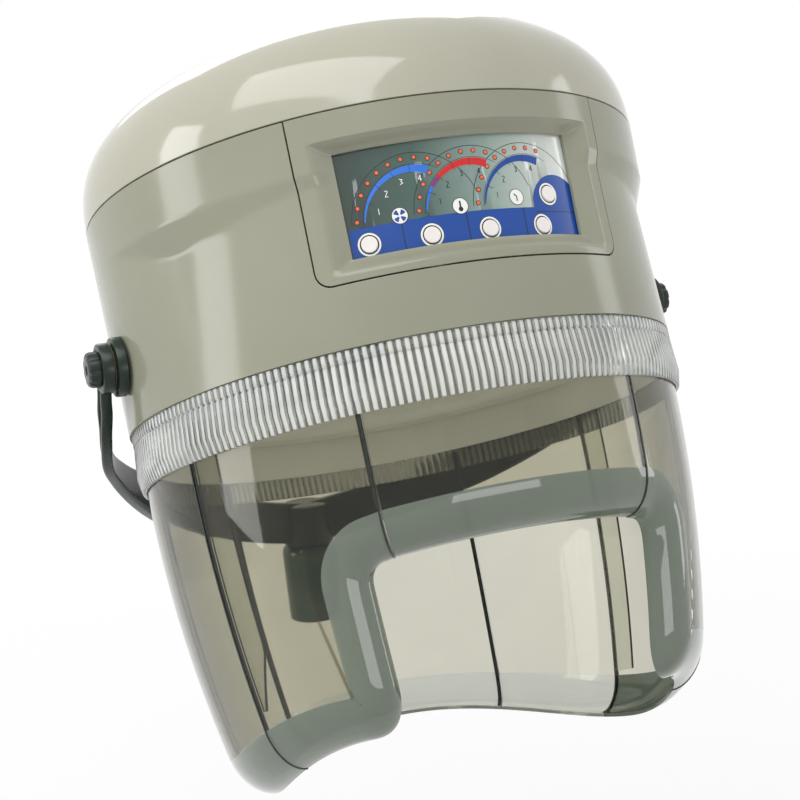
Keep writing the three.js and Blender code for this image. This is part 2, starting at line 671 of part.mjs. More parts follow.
function pushButton() {
  const flangeTop = -BUTTON_FLANGE_SEAT;
  const flangeFoot = flangeTop - BUTTON_FLANGE;
  const edge = BUTTON_PROUD / 3;
  const profile = [
    [0, BUTTON_PROUD],
    [BUTTON_RADIUS - edge, BUTTON_PROUD],
    [BUTTON_RADIUS, BUTTON_PROUD - edge],
    [BUTTON_RADIUS, flangeTop],
    [BUTTON_FLANGE_RADIUS, flangeTop],
    [BUTTON_FLANGE_RADIUS, flangeFoot],
    [BUTTON_STEM_RADIUS, flangeFoot],
    [BUTTON_STEM_RADIUS, flangeFoot - BUTTON_STEM],
    [0, flangeFoot - BUTTON_STEM],
  ];
  return turned(profile, HOLE_SEGMENTS).rotateX(Math.PI / 2);
}

const switchSetBack = BUTTON_FLANGE_SEAT + BUTTON_FLANGE + BUTTON_STEM + BUTTON_TRAVEL + ROUND_FIT;

function switchPlate() {
  const postAngle = displayHalf - SWITCH_POST_INSET_ANGLE;
  const posts = [-postAngle, postAngle].flatMap((angle) =>
    displayRows.map((depth, i) => {
      const inset = depth + (i === 0 ? 1 : -1) * (SWITCH_POST_RADIUS + OVERLAP);
      const from = DISPLAY_THICKNESS + ROUND_FIT;
      const post = rod("y", from, switchSetBack + OVERLAP, SWITCH_POST_RADIUS, POST_SEGMENTS);
      return onPanel(post, angle, inset);
    }),
  );
  return joined([panelSheet(switchSetBack, SWITCH_PLATE), ...posts]);
}

function controlBoard() {
  const back = -BOARD_BACK_FROM_AXIS;
  const front = back - BOARD_THICKNESS;
  const board = block(-BOARD_HALF_WIDTH, BOARD_HALF_WIDTH, front, back, -BOARD_FOOT, -BOARD_TOP);
  const x = BOARD_HALF_WIDTH - BOARD_POST_INSET;
  const depths = [BOARD_TOP + BOARD_POST_INSET, BOARD_FOOT - BOARD_POST_INSET];
  const posts = [-x, x].flatMap((place) =>
    depths.map((depth) => {
      const reach = displayRadius(depth + BOARD_POST_RADIUS) - switchSetBack - SWITCH_PLATE - SEAT_GAP;
      const outerX = x + BOARD_POST_RADIUS;
      const end = Math.sqrt(reach * reach - outerX * outerX);
      const post = rod("y", -end, front + OVERLAP, BOARD_POST_RADIUS, POST_SEGMENTS);
      return post.translate(place, 0, -depth);
    }),
  );
  return joined([board, ...posts]);
}

// ---------------------------------------------------------------- ribbed collar
function ribCollar() {
  const profile = [
    [COLLAR_INNER_RADIUS, -COLLAR_TOP_DEPTH],
    [COLLAR_TOP_RADIUS, -COLLAR_TOP_DEPTH],
    [COLLAR_TOP_RADIUS, -COLLAR_GROOVE_DEPTH + COLLAR_GROOVE],
    [COLLAR_TOP_RADIUS - COLLAR_GROOVE, -COLLAR_GROOVE_DEPTH],
    [COLLAR_TOP_RADIUS, -COLLAR_GROOVE_DEPTH - COLLAR_GROOVE],
    [COLLAR_KINK_RADIUS, -COLLAR_KINK_DEPTH],
    [COLLAR_FOOT_RADIUS, -COLLAR_FOOT_DEPTH],
    [COLLAR_INNER_RADIUS, -COLLAR_FOOT_DEPTH],
  ];
  return turnedRing(profile, 360 / ROUND_STEP);
}

// ---------------------------------------------------------------- clear shroud
// Outer radius of the shroud's wall at a depth.
function wallRadius(depth) {
  const share = Math.max(0, depth - SHROUD_STRAIGHT_DEPTH) / (LOBE_DEPTH - SHROUD_STRAIGHT_DEPTH);
  return SHROUD_TOP_RADIUS - SHROUD_TAPER * share ** SHROUD_TAPER_POWER;
}

const cornerAngle = degreesOf(FACE_HALF_WIDTH + FACE_FOOT_FILLET, UNROLL_RADIUS);
const cornerDepth = FACE_SIDE_FOOT + FACE_FOOT_FILLET;

// Depth of the lower edge behind the face opening, easing to the lobes and up to the nape.
function lowerEdgeDepth(angle) {
  const ease = (from, to, share) => from + ((to - from) * (1 - Math.cos(Math.PI * share))) / 2;
  if (angle < LOBE_ANGLE) {
    return ease(cornerDepth, LOBE_DEPTH, (angle - cornerAngle) / (LOBE_ANGLE - cornerAngle));
  }
  return ease(LOBE_DEPTH, NAPE_DEPTH, (angle - LOBE_ANGLE) / (180 - LOBE_ANGLE));
}

// Depth of the top of the face opening.
const faceLipDepth = (along) => FACE_LIP_DEPTH + FACE_LIP_DROOP * (along / FACE_HALF_WIDTH) ** 2;

// Points of the edge as [distance along, depth], from one seam angle to the next.
function edgeBetween(from, to) {
  const along = (angle) => angle * DEG * UNROLL_RADIUS;
  if (to <= FLAP_HALF_ANGLE) {
    const lip = (angle) => faceLipDepth(Math.abs(along(angle)));
    return steps(from, to, ROUND_STEP).map((angle) => [along(angle), lip(angle)]);
  }
  const below = (angle) => lowerEdgeDepth(Math.min(angle, 360 - angle));
  const lower = (start) => steps(start, to, ROUND_STEP + 1).map((angle) => [along(angle), below(angle)]);
  if (from > FLAP_HALF_ANGLE + SEAM_GAP) {
    return lower(from);
  }
  const lipFoot = faceLipDepth(FACE_HALF_WIDTH);
  const path = new THREE.Path();
  path.moveTo(along(from), faceLipDepth(along(from)));
  path.lineTo(FACE_HALF_WIDTH - FACE_TOP_FILLET, lipFoot);
  const top = new THREE.QuadraticBezierCurve(
    new THREE.Vector2(FACE_HALF_WIDTH - FACE_TOP_FILLET, lipFoot),
    new THREE.Vector2(FACE_HALF_WIDTH, lipFoot),
    new THREE.Vector2(FACE_HALF_WIDTH, lipFoot + FACE_TOP_FILLET),
  );
  const foot = new THREE.QuadraticBezierCurve(
    new THREE.Vector2(FACE_HALF_WIDTH, FACE_SIDE_FOOT),
    new THREE.Vector2(FACE_HALF_WIDTH, cornerDepth),
    new THREE.Vector2(FACE_HALF_WIDTH + FACE_FOOT_FILLET, cornerDepth),
  );
  const start = [[along(from), faceLipDepth(along(from))]];
  const sides = [top.getPoints(4), foot.getPoints(5)].map((curve) => curve.map(({ x, y }) => [x, y]));
  const middle = [[FACE_HALF_WIDTH, (lipFoot + FACE_TOP_FILLET + FACE_SIDE_FOOT) / 2]];
  return [...start, ...sides[0], ...middle, ...sides[1], ...lower(cornerAngle).slice(1)];
}

// The edge with the direction into the wall at each point; both ends point straight up.
function edgeWithNormals(points) {
  return points.map(([along, depth], i) => {
    if (i === 0 || i === points.length - 1) {
      return { along, depth, na: 0, nd: -1 };
    }
    const [a0, d0] = points[i - 1];
    const [a1, d1] = points[i + 1];
    const length = Math.hypot(a1 - a0, d1 - d0);
    return { along, depth, na: (d1 - d0) / length, nd: -(a1 - a0) / length };
  });
}

// Top-edge angles for the columns: spread by how far apart they leave the rolled edge.
function topAngles(edge, from, to) {
  const inwards = ({ along, depth, na, nd }) => [along + na * ROLL_WIDTH, depth + nd * ROLL_WIDTH];
  const rolled = edge.map(inwards);
  const run = [0];
  rolled.slice(1).forEach(([a, d], i) => {
    run.push(run[i] + Math.hypot(a - rolled[i][0], d - rolled[i][1]));
  });
  return run.map((length) => from + ((to - from) * length) / run[run.length - 1]);
}

// Rows of the wall: the rolled edge by its turn, then the plain wall by its share upwards.
const ROLL_TURNS = [90, 62, 32, 0];
const WALL_SHARES = [0.32, 0.65];
const WALL_ROWS = [
  { fixed: SHROUD_TOP_DEPTH },
  { fixed: SHROUD_STRAIGHT_DEPTH },
  ...WALL_SHARES.map((share) => ({ turn: 0, share })).reverse(),
  ...ROLL_TURNS.map((turn) => ({ turn, share: 0 })).reverse(),
];

function shroudPoint(column, { fixed, turn, share }, inset) {
  const { along, depth, na, nd, top } = column;
  if (fixed) {
    return around(top, wallRadius(fixed) - inset, fixed);
  }
  const inward = ROLL_WIDTH * (1 - Math.sin(turn * DEG)) + inset * Math.sin(turn * DEG);
  const rolledAlong = along + na * inward;
  const rolledDepth = depth + nd * inward;
  const topAlong = top * DEG * UNROLL_RADIUS;
  const placeAlong = rolledAlong + (topAlong - rolledAlong) * share;
  const placeDepth = rolledDepth + (SHROUD_STRAIGHT_DEPTH - rolledDepth) * share;
  const turnIn = ROLL_DEPTH * (1 - Math.cos(turn * DEG)) + inset * Math.cos(turn * DEG);
  return around(placeAlong / UNROLL_RADIUS / DEG, wallRadius(placeDepth) - turnIn, placeDepth);
}

function shroudPanel(from, to, side = 1) {
  const gap = degreesOf(SEAM_GAP / 2, UNROLL_RADIUS);
  const start = from + gap;
  const end = to - gap;
  const edge = edgeWithNormals(edgeBetween(start, end));
  const tops = topAngles(edge, start, end);
  const straight = from > FLAP_HALF_ANGLE || to <= FLAP_HALF_ANGLE;
  const columns = edge.map((place, i) => ({
    ...place,
    top: straight ? place.along / UNROLL_RADIUS / DEG : tops[i],
  }));
  const panel = sheet(
    columns,
    WALL_ROWS,
    (column, row) => shroudPoint(column, row, 0),
    (column, row) => shroudPoint(column, row, SHROUD_WALL),
  );
  return side < 0 ? closed(panel.scale(-1, 1, 1)) : panel;
}

// A tapering strip inside the wall that backs the seam between two panels.
function seamStrip(seam, side) {
  const gap = degreesOf(SEAM_GAP / 2, UNROLL_RADIUS);
  const depths = [BASE_SKIRT_FOOT + SEAT_GAP, (BASE_SKIRT_FOOT + STRIP_STRAIGHT_DEPTH) / 2];
  const rows = [...depths, STRIP_STRAIGHT_DEPTH, STRIP_POINT_DEPTH];
  const taper = STRIP_POINT_DEPTH - STRIP_STRAIGHT_DEPTH;
  const width = (depth) => STRIP_ANGLE * Math.min(1, (STRIP_POINT_DEPTH + CUT_PAST - depth) / taper);
  const face = (depth) => wallRadius(depth) - SHROUD_WALL - STRIP_FIT;
  const angleAt = (share, depth) => seam - gap - width(depth) * (1 - share);
  const strip = sheet(
    [0, 0.5, 1],
    rows,
    (share, depth) => around(angleAt(share, depth), face(depth), depth),
    (share, depth) => around(angleAt(share, depth), face(depth) - STRIP_THICKNESS, depth),
  );
  return side < 0 ? closed(strip.scale(-1, 1, 1)) : strip;
}

// ---------------------------------------------------------------- inner structure
// A flat plate in a horizontal plane, its outline given by a radius at each angle.
function plate(radiusAt, marks, holes, top, thickness) {
  const bothSides = marks.flatMap((mark) => [mark, mark + 1, 360 - mark, 359 - mark]);
  const outline = marked(0, 360, ROUND_STEP, bothSides).slice(0, -1);
  const points = outline.map((angle) => {
    const [x, y] = around(angle, radiusAt(angle), 0);
    return new THREE.Vector2(x, y);
  });
  const shape = new THREE.Shape(points);
  for (const radius of holes) {
    const hole = new THREE.Path();
    hole.absarc(0, 0, radius, 0, 2 * Math.PI, true);
    shape.holes.push(hole);
  }
  const settings = { depth: thickness, bevelEnabled: false, curveSegments: 24 };
  return new THREE.ExtrudeGeometry(shape, settings).translate(0, 0, -top - thickness);
}

const offFront = (angle) => Math.min(angle, 360 - angle);

function baseRing() {
  const clearOfFlap = GUIDE_RADIUS - GUIDE_WALL - ROUND_FIT;
  const foot = BASE_PLATE_DEPTH + BASE_PLATE;
  const radiusAt = (angle) =>
    offFront(angle) < FLAP_SECTOR_ANGLE + 1 ? clearOfFlap : shellInnerRadius(angle, foot) - ROUND_FIT;
  const marks = [FLAP_SECTOR_ANGLE + 0.5];
  const flat = plate(radiusAt, marks, [BASE_HOLE_RADIUS], BASE_PLATE_DEPTH, BASE_PLATE);
  const skirt = sheet(
    steps(FLAP_SECTOR_ANGLE + 1.5, 360 - FLAP_SECTOR_ANGLE - 1.5, ROUND_STEP),
    [foot - OVERLAP, BASE_SKIRT_FOOT],
    (angle, depth) => around(angle, SKIRT_RADIUS, depth),
    (angle, depth) => around(angle, SKIRT_RADIUS - SKIRT_WALL, depth),
  );
  return joined([flat, skirt]);
}

function flapGuide(side) {
  const rail = sheet(
    steps(GUIDE_INNER_ANGLE, FLAP_SECTOR_ANGLE, ROUND_STEP),
    [GUIDE_TOP, GUIDE_FOOT],
    (angle, depth) => around(angle, GUIDE_RADIUS, depth),
    (angle, depth) => around(angle, GUIDE_RADIUS - GUIDE_WALL, depth),
  );
  const lip = sheet(
    [FLAP_HALF_ANGLE + FLAP_EDGE_GAP, FLAP_SECTOR_ANGLE],
    [GUIDE_TOP, SHROUD_TOP_DEPTH - SEAT_GAP],
    (angle, depth) => around(angle, SHROUD_TOP_RADIUS, depth),
    (angle, depth) => around(angle, GUIDE_RADIUS - OVERLAP, depth),
  );
  const guide = joined([rail, lip]);
  return side < 0 ? closed(guide.scale(-1, 1, 1)) : guide;
}

function fanDeck() {
  const foot = DECK_DEPTH + DECK_THICKNESS;
  const radiusAt = (angle) => {
    const nearest = Math.min(shellInnerRadius(angle, DECK_DEPTH), shellInnerRadius(angle, foot));
    return offFront(angle) < PANEL_HALF_ANGLE + 1 ? DECK_FRONT_RADIUS : nearest - ROUND_FIT;
  };
  const deck = plate(radiusAt, [PANEL_HALF_ANGLE + 0.5], [FAN_HOLE_RADIUS], DECK_DEPTH, DECK_THICKNESS);
  const half = BRACKET_SIZE / 2 + RUNNING_GAP;
  const inner = BRACKET_INNER_X - BOLT_HEAD - 2 * RUNNING_GAP;
  const notch = block(inner, SEAM_RADIUS, -half, half, -DECK_DEPTH - CUT_PAST, -DECK_DEPTH + CUT_PAST);
  notch.translate(0, -PIVOT_FORWARD, 0);
  return cut(deck, [notch, notch.clone().scale(-1, 1, 1)]);
}

function deckPillar(angle) {
  const top = DECK_DEPTH + DECK_THICKNESS + SEAT_GAP;
  const foot = BASE_PLATE_DEPTH - SEAT_GAP;
  const [x, y] = around(angle, PILLAR_CIRCLE, 0);
  return rod("z", -foot, -top, PILLAR_RADIUS, HOLE_SEGMENTS).translate(x, y, 0);
}

const domeFlangeTop = BASE_PLATE_DEPTH + BASE_PLATE + SEAT_GAP;

function innerDome() {
  const arc = (radius, rise) =>
    steps(0, 90, 30).map((turn) => [
      radius * Math.cos(turn * DEG),
      -domeFlangeTop + rise * Math.sin(turn * DEG),
    ]);
  const under = arc(DOME_RADIUS - DOME_WALL, DOME_RISE - DOME_WALL);
  const over = arc(DOME_RADIUS, DOME_RISE).reverse();
  const profile = [
    ...over,
    [DOME_FLANGE_RADIUS, -domeFlangeTop],
    [DOME_FLANGE_RADIUS, -domeFlangeTop - DOME_WALL],
    [DOME_RADIUS - DOME_WALL, -domeFlangeTop - DOME_WALL],
    ...under,
  ];
  const holes = Array.from({ length: DOME_HOLES }, (_, i) => {
    const [x, y] = around((i * 360) / DOME_HOLES, DOME_HOLE_CIRCLE, 0);
    const hole = rod("z", -domeFlangeTop - CUT_PAST, -DECK_DEPTH, DOME_HOLE_RADIUS, POST_SEGMENTS);
    return hole.translate(x, y, 0);
  });
  return cut(turned(profile, 36), holes);
}

// ---------------------------------------------------------------- fan and heater
const impellerTop = -DECK_DEPTH + BRACKET_HEIGHT - SEAT_GAP;
const motorPlateFoot = -DECK_DEPTH + BRACKET_HEIGHT;

function motorBracket() {
  const plateTop = motorPlateFoot + BRACKET_PLATE;
  const legFoot = -DECK_DEPTH + SEAT_GAP;
  const arms = [0, 1, 2].flatMap((i) => {
    const half = BRACKET_LEG_WIDTH / 2;
    const reach = BRACKET_LEG_CIRCLE + half;
    const arm = block(0, reach, -half, half, motorPlateFoot, plateTop);
    const leg = block(BRACKET_LEG_CIRCLE - half, reach, -half, half, legFoot, plateTop);
    return [arm, leg].map((piece) => piece.rotateZ((90 + i * 120) * DEG));
  });
  const disc = rod("z", motorPlateFoot, plateTop, BRACKET_PLATE_RADIUS);
  const clear = rod("z", motorPlateFoot - CUT_PAST, plateTop + CUT_PAST, SHAFT_RADIUS + RUNNING_GAP);
  return cut(joined([disc, ...arms]), [clear]);
}

function fanMotor() {
  const foot = motorPlateFoot + BRACKET_PLATE + SEAT_GAP;
  const top = foot + MOTOR_HEIGHT;
  const neck = MOTOR_RADIUS * 0.6;
  const shoulder = MOTOR_HEIGHT * 0.15;
  const bore = SHAFT_RADIUS + RUNNING_GAP;
  const profile = [
    [0, top],
    [neck, top],
    [MOTOR_RADIUS, top - shoulder],
    [MOTOR_RADIUS, foot],
    [bore, foot],
    [bore, foot + SHAFT_IN_MOTOR + RUNNING_GAP],
    [0, foot + SHAFT_IN_MOTOR + RUNNING_GAP],
  ];
  return turned(profile, SMALL_SEGMENTS);
}

function impeller() {
  const top = impellerTop - RUNNING_GAP;
  const plateFoot = top - IMPELLER_PLATE;
  const foot = top - IMPELLER_HEIGHT;
  const shaftTop = motorPlateFoot + BRACKET_PLATE + SEAT_GAP + SHAFT_IN_MOTOR;
  const blades = Array.from({ length: BLADE_COUNT }, (_, i) => {
    const half = BLADE_THICKNESS / 2;
    const length = IMPELLER_RADIUS - BLADE_INNER_RADIUS - BLADE_THICKNESS * 2;
    const blade = block(0, length, -half, half, foot, plateFoot + OVERLAP);
    blade.rotateZ(BLADE_LEAN * DEG).translate(BLADE_INNER_RADIUS, 0, 0);
    return blade.rotateZ((i * 360 * DEG) / BLADE_COUNT);
  });
  return joined([
    rod("z", plateFoot, top, IMPELLER_RADIUS, 1.5 * SMALL_SEGMENTS),
    rod("z", foot, plateFoot + OVERLAP, IMPELLER_HUB_RADIUS, HOLE_SEGMENTS),
    rod("z", top - OVERLAP, shaftTop, SHAFT_RADIUS, HOLE_SEGMENTS),
    ...blades,
  ]);
}

const heaterTop = -DECK_DEPTH - DECK_THICKNESS - SEAT_GAP;
const heaterFoot = heaterTop - HEATER_PLATE;

function heaterPlate() {
  const profile = [
    [HEATER_INNER_RADIUS, heaterTop],
    [HEATER_OUTER_RADIUS, heaterTop],
    [HEATER_OUTER_RADIUS, heaterFoot],
    [HEATER_INNER_RADIUS, heaterFoot],
  ];
  return turnedRing(profile, 1.5 * SMALL_SEGMENTS);
}

function heaterCoil() {
  const ring = new THREE.TorusGeometry(COIL_RING_RADIUS, COIL_RADIUS, 6, 1.5 * SMALL_SEGMENTS);
  return ring.translate(0, 0, heaterFoot - SEAT_GAP - COIL_RADIUS);
}

function thermalCutout() {
  const [x, y] = around(45, CUTOUT_CIRCLE, 0);
  const body = rod("z", heaterTop - CUTOUT_HEIGHT, heaterTop, CUTOUT_RADIUS, HOLE_SEGMENTS);
  return body.translate(x, y, 0);
}

function deckBox({ width, depth, height, angle, inset }) {
  const foot = -DECK_DEPTH + SEAT_GAP;
  const box = block(-width / 2, width / 2, -depth / 2, depth / 2, foot, foot + height);
  return box.translate(0, inset - SHROUD_TOP_RADIUS, 0).rotateZ(angle * DEG);
}

// ---------------------------------------------------------------- pivots, seen from the hood
function atPivot(geometry, side) {
  const placed = geometry.translate(0, -PIVOT_FORWARD, -PIVOT_DEPTH);
  return side < 0 ? closed(placed.scale(-1, 1, 1)) : placed;
}

function pivotHub(side) {
  const hub = joined([
    rod("x", HUB_INNER_X, HUB_OUTER_X, HUB_RADIUS),
    rod("x", SPIGOT_INNER_X, HUB_INNER_X + OVERLAP, HUB_SPIGOT_RADIUS),
  ]);
  const boreRadius = PIVOT_BOLT_RADIUS + SEAT_GAP;
  const bore = rod("x", SPIGOT_INNER_X - CUT_PAST, HUB_OUTER_X + CUT_PAST, boreRadius);
  return atPivot(cut(hub, [bore]), side);
}

function pivotBracket(side) {
  const half = BRACKET_SIZE / 2;
  const foot = PIVOT_DEPTH - BASE_PLATE_DEPTH + SEAT_GAP;
  const body = block(BRACKET_INNER_X, BRACKET_OUTER_X, -half, half, foot, half);
  const boreRadius = PIVOT_BOLT_RADIUS + SEAT_GAP;
  const bore = rod("x", BRACKET_INNER_X - CUT_PAST, BRACKET_OUTER_X + CUT_PAST, boreRadius);
  return atPivot(cut(body, [bore]), side);
}

function pivotBolt(side) {
  const end = KNOB_X + KNOB_THICKNESS / 2;
  const headTop = BRACKET_INNER_X - SEAT_GAP;
  const bolt = joined([
    rod("x", headTop - OVERLAP, end, PIVOT_BOLT_RADIUS, HOLE_SEGMENTS),
    rod("x", headTop - BOLT_HEAD, headTop, BOLT_HEAD_RADIUS, 6),
  ]);
  return atPivot(bolt, side);
}

// ---------------------------------------------------------------- fork, seen from its pivots
function mirroredX(geometry, side) {
  return side < 0 ? closed(geometry.scale(-1, 1, 1)) : geometry;
}

function frictionWasher(side) {
  const washer = rod("x", WASHER_X, WASHER_X + WASHER_THICKNESS, WASHER_RADIUS);
  const boreRadius = PIVOT_BOLT_RADIUS + SEAT_GAP;
  const bore = rod("x", WASHER_X - CUT_PAST, WASHER_X + CUT_PAST, boreRadius, HOLE_SEGMENTS);
  return mirroredX(cut(washer, [bore]), side);
}

function tensionKnob(side) {
  const end = KNOB_X + KNOB_THICKNESS;
  const grip = rod("x", KNOB_X, end, KNOB_RADIUS, SMALL_SEGMENTS, KNOB_RADIUS * 0.9);
  const flutes = Array.from({ length: KNOB_FLUTES }, (_, i) => {
    const turn = (i * 2 * Math.PI) / KNOB_FLUTES;
    const flute = rod("x", KNOB_X - CUT_PAST, end + CUT_PAST, KNOB_FLUTE_RADIUS, POST_SEGMENTS);
    return flute.translate(0, (KNOB_RADIUS + 1) * Math.cos(turn), (KNOB_RADIUS + 1) * Math.sin(turn));
  });
  const boreEnd = KNOB_X + KNOB_THICKNESS / 2 + SEAT_GAP;
  const bore = rod("x", KNOB_X - CUT_PAST, boreEnd, PIVOT_BOLT_RADIUS + SEAT_GAP, HOLE_SEGMENTS);
  return mirroredX(cut(grip, [...flutes, bore]), side);
}

// Centre line of the right half, from the pivot to the back.
function forkLine() {
  const arm = steps(0, 0.8, 0.4).map((share) => [ARM_X, ARM_FOOT.y * share, ARM_FOOT.z * share]);
  const loop = steps(10, 90, 10).map((turn) => {
    const across = ARM_X * Math.cos(turn * DEG) ** (2 / LOOP_POWER);
    const along = LOOP_LENGTH * Math.sin(turn * DEG) ** (2 / LOOP_POWER);
    const y = ARM_FOOT.y + along * Math.cos(LOOP_FALL * DEG);
    return [across, y, ARM_FOOT.z - along * Math.sin(LOOP_FALL * DEG)];
  });
  return [...arm, ...loop].map((point) => new THREE.Vector3(...point));
}

const FORK_STEPS = 44;

function forkSweep() {
  const right = forkLine();
  const left = right.slice(0, -1).map(({ x, y, z }) => new THREE.Vector3(-x, y, z));
  const curve = new THREE.CatmullRomCurve3([...left, ...right.reverse()], false, "centripetal");
  const rings = steps(0, 1, 1 / FORK_STEPS).map((share) => {
    const place = curve.getPointAt(share);
    const along = curve.getTangentAt(share);
    const outward = new THREE.Vector3(-along.y, along.x, 0).normalize();
    const across = new THREE.Vector3().crossVectors(along, outward);
    const fromEnd = Math.min(share, 1 - share) * 2;
    const grow = THREE.MathUtils.smoothstep(fromEnd, 0.12, 0.6);
    const halfWidth = (ARM_WIDTH + (LOOP_WIDTH - ARM_WIDTH) * grow) / 2;
    const halfThick = (ARM_THICKNESS + (LOOP_THICKNESS - ARM_THICKNESS) * grow) / 2;
    const chamfer = halfThick * 2 * FORK_CHAMFER;
    const corners = [
      [halfThick, halfWidth - chamfer],
      [halfThick - chamfer, halfWidth],
      [-halfThick + chamfer, halfWidth],
      [-halfThick, halfWidth - chamfer],
      [-halfThick, -halfWidth + chamfer],
      [-halfThick + chamfer, -halfWidth],
      [halfThick - chamfer, -halfWidth],
      [halfThick, -halfWidth + chamfer],
    ];
    return corners.map(([out, up]) =>
      place.clone().addScaledVector(outward, out).addScaledVector(across, up),
    );
  });
  return tubeOf(rings);
}

// A solid through rings of points, with flat ends.
function tubeOf(rings) {
  const sides = rings[0].length;
  const positions = rings.flat().flatMap(({ x, y, z }) => [x, y, z]);
  const faces = [];
  for (let i = 0; i < rings.length - 1; i += 1) {
    for (let j = 0; j < sides; j += 1) {
      const next = (j + 1) % sides;
      const a = i * sides;
      const b = a + sides;
      faces.push(a + j, a + next, b + next, a + j, b + next, b + j);
    }
  }
  const last = (rings.length - 1) * sides;
  for (let j = 1; j < sides - 1; j += 1) {
    faces.push(0, j + 1, j, last, last + j, last + j + 1);
  }
  const geometry = new THREE.BufferGeometry();
  geometry.setAttribute("position", new THREE.BufferAttribute(new Float32Array(positions), 3));
  geometry.setIndex(faces);
  return closed(geometry.toNonIndexed());
}

function fork() {
  const bosses = [-1, 1].map((side) =>
    mirroredX(rod("x", ARM_INNER_X, ARM_OUTER_X, ARM_BOSS_RADIUS, SMALL_SEGMENTS), side),
  );
  const hubZ = -FORK_DROP;
  const hub = rod("z", hubZ - LOOP_WIDTH / 2, hubZ + LOOP_WIDTH / 2, REAR_HUB_RADIUS);
  hub.translate(0, FORK_REACH, 0);
  const reach = ARM_OUTER_X + CUT_PAST;
  const bore = rod("x", -reach, reach, PIVOT_BOLT_RADIUS + SEAT_GAP);
  const hubFoot = hubZ - LOOP_WIDTH / 2;
  const spigotTop = hubFoot + SOCKET_SPIGOT + SEAT_GAP;
  const spigotBore = rod("z", hubFoot - CUT_PAST, spigotTop, SOCKET_SPIGOT_RADIUS + SEAT_GAP);
  spigotBore.translate(0, FORK_REACH, 0);
  return cut(joined([forkSweep(), ...bosses, hub]), [bore, spigotBore]);
}

// ---------------------------------------------------------------- stand socket, seen from its mouth
function standSocket() {
  const shoulder = steps(0, 90, 30).map((turn) => [
    SOCKET_TOP_RADIUS - SOCKET_SHOULDER * (1 - Math.cos(turn * DEG)),
    SOCKET_LENGTH - SOCKET_SHOULDER * (1 - Math.sin(turn * DEG)),
  ]);
  const profile = [
    [0, SOCKET_LENGTH + SOCKET_SPIGOT],
    [SOCKET_SPIGOT_RADIUS, SOCKET_LENGTH + SOCKET_SPIGOT],
    [SOCKET_SPIGOT_RADIUS, SOCKET_LENGTH],
    ...shoulder.reverse(),
    [SOCKET_MOUTH_RADIUS, 0],
    [SOCKET_BORE_RADIUS, 0],
    [SOCKET_BORE_RADIUS, SOCKET_BORE_DEPTH],
    [0, SOCKET_BORE_DEPTH],
  ];
  const holeRadius = LOCK_SCREW_RADIUS + SEAT_GAP;
  const screwHole = rod("y", 0, SOCKET_TOP_RADIUS + CUT_PAST, holeRadius, HOLE_SEGMENTS);
  screwHole.translate(0, 0, LOCK_SCREW_HEIGHT);
  return cut(turned(profile, 1.5 * SMALL_SEGMENTS), [screwHole]);
}

function socketLockScrew() {
  const headFrom = SOCKET_TOP_RADIUS + LOCK_HEAD_STANDOFF;
  const screw = joined([
    rod("y", SOCKET_BORE_RADIUS + SEAT_GAP, headFrom + OVERLAP, LOCK_SCREW_RADIUS, HOLE_SEGMENTS),
    rod("y", headFrom, headFrom + LOCK_HEAD, LOCK_HEAD_RADIUS, 6),
  ]);
  return screw.translate(0, 0, LOCK_SCREW_HEIGHT);
}

// ---------------------------------------------------------------- assembly
function piece(name, geometry, material) {
  const shown = geometry.index ? geometry.toNonIndexed() : geometry;
  shown.computeVertexNormals();
  const mesh = new THREE.Mesh(shown, material);
  mesh.name = name;
  return mesh;
}

const SIDES = [
  ["left", -1],
  ["right", 1],
];

const dryer = new THREE.Group();

const stand = new THREE.Group();
stand.add(piece("stand_socket", standSocket(), SOCKET_PAINT));
stand.add(piece("socket_lock_screw", socketLockScrew(), STEEL));

const yoke = new THREE.Group();
yoke.position.copy(PIVOT);
yoke.add(piece("fork", fork(), FORK_PAINT));
for (const [word, side] of SIDES) {
  yoke.add(piece(`${word}_friction_washer`, frictionWasher(side), FRICTION_FIBRE));
  yoke.add(piece(`${word}_tension_knob`, tensionKnob(side), FORK_PAINT));
}

// The hood group turns about the pivots; the seam group inside it has the seam plane at z = 0.
const hood = new THREE.Group();
hood.position.copy(PIVOT);
hood.rotation.x = -REST_PITCH * DEG;
const seam = new THREE.Group();
seam.position.set(0, PIVOT_FORWARD, PIVOT_DEPTH);
hood.add(seam);

seam.add(piece("top_cover", topCover(), COVER_PLASTIC));
seam.add(piece("main_shell", mainShell(), SHELL_PLASTIC));
seam.add(piece("intake_filter", intakeFilter(), FILTER_FOAM));
seam.add(piece("cable_gland", cableGland(), BLACK_PLASTIC));
seam.add(piece("panel_bezel", panelBezel(), SHELL_PLASTIC));
seam.add(piece("display_panel", displayPanel(), DISPLAY_FACE));
seam.add(piece("switch_plate", switchPlate(), BLACK_PLASTIC));
seam.add(piece("control_board", controlBoard(), BOARD_GREEN));
for (const { name, angle, rise } of BUTTONS) {
  const depth = WINDOW_FOOT - rise;
  const button = piece(name, pushButton(), BUTTON_WHITE);
  button.position.set(...around(angle, displayRadius(depth), depth));
  button.rotation.z = angle * DEG;
  seam.add(button);
}
seam.add(piece("rib_collar", ribCollar(), CLEAR_SMOKED));
seam.add(piece("front_flap", shroudPanel(-FLAP_HALF_ANGLE, FLAP_HALF_ANGLE), CLEAR_SMOKED));
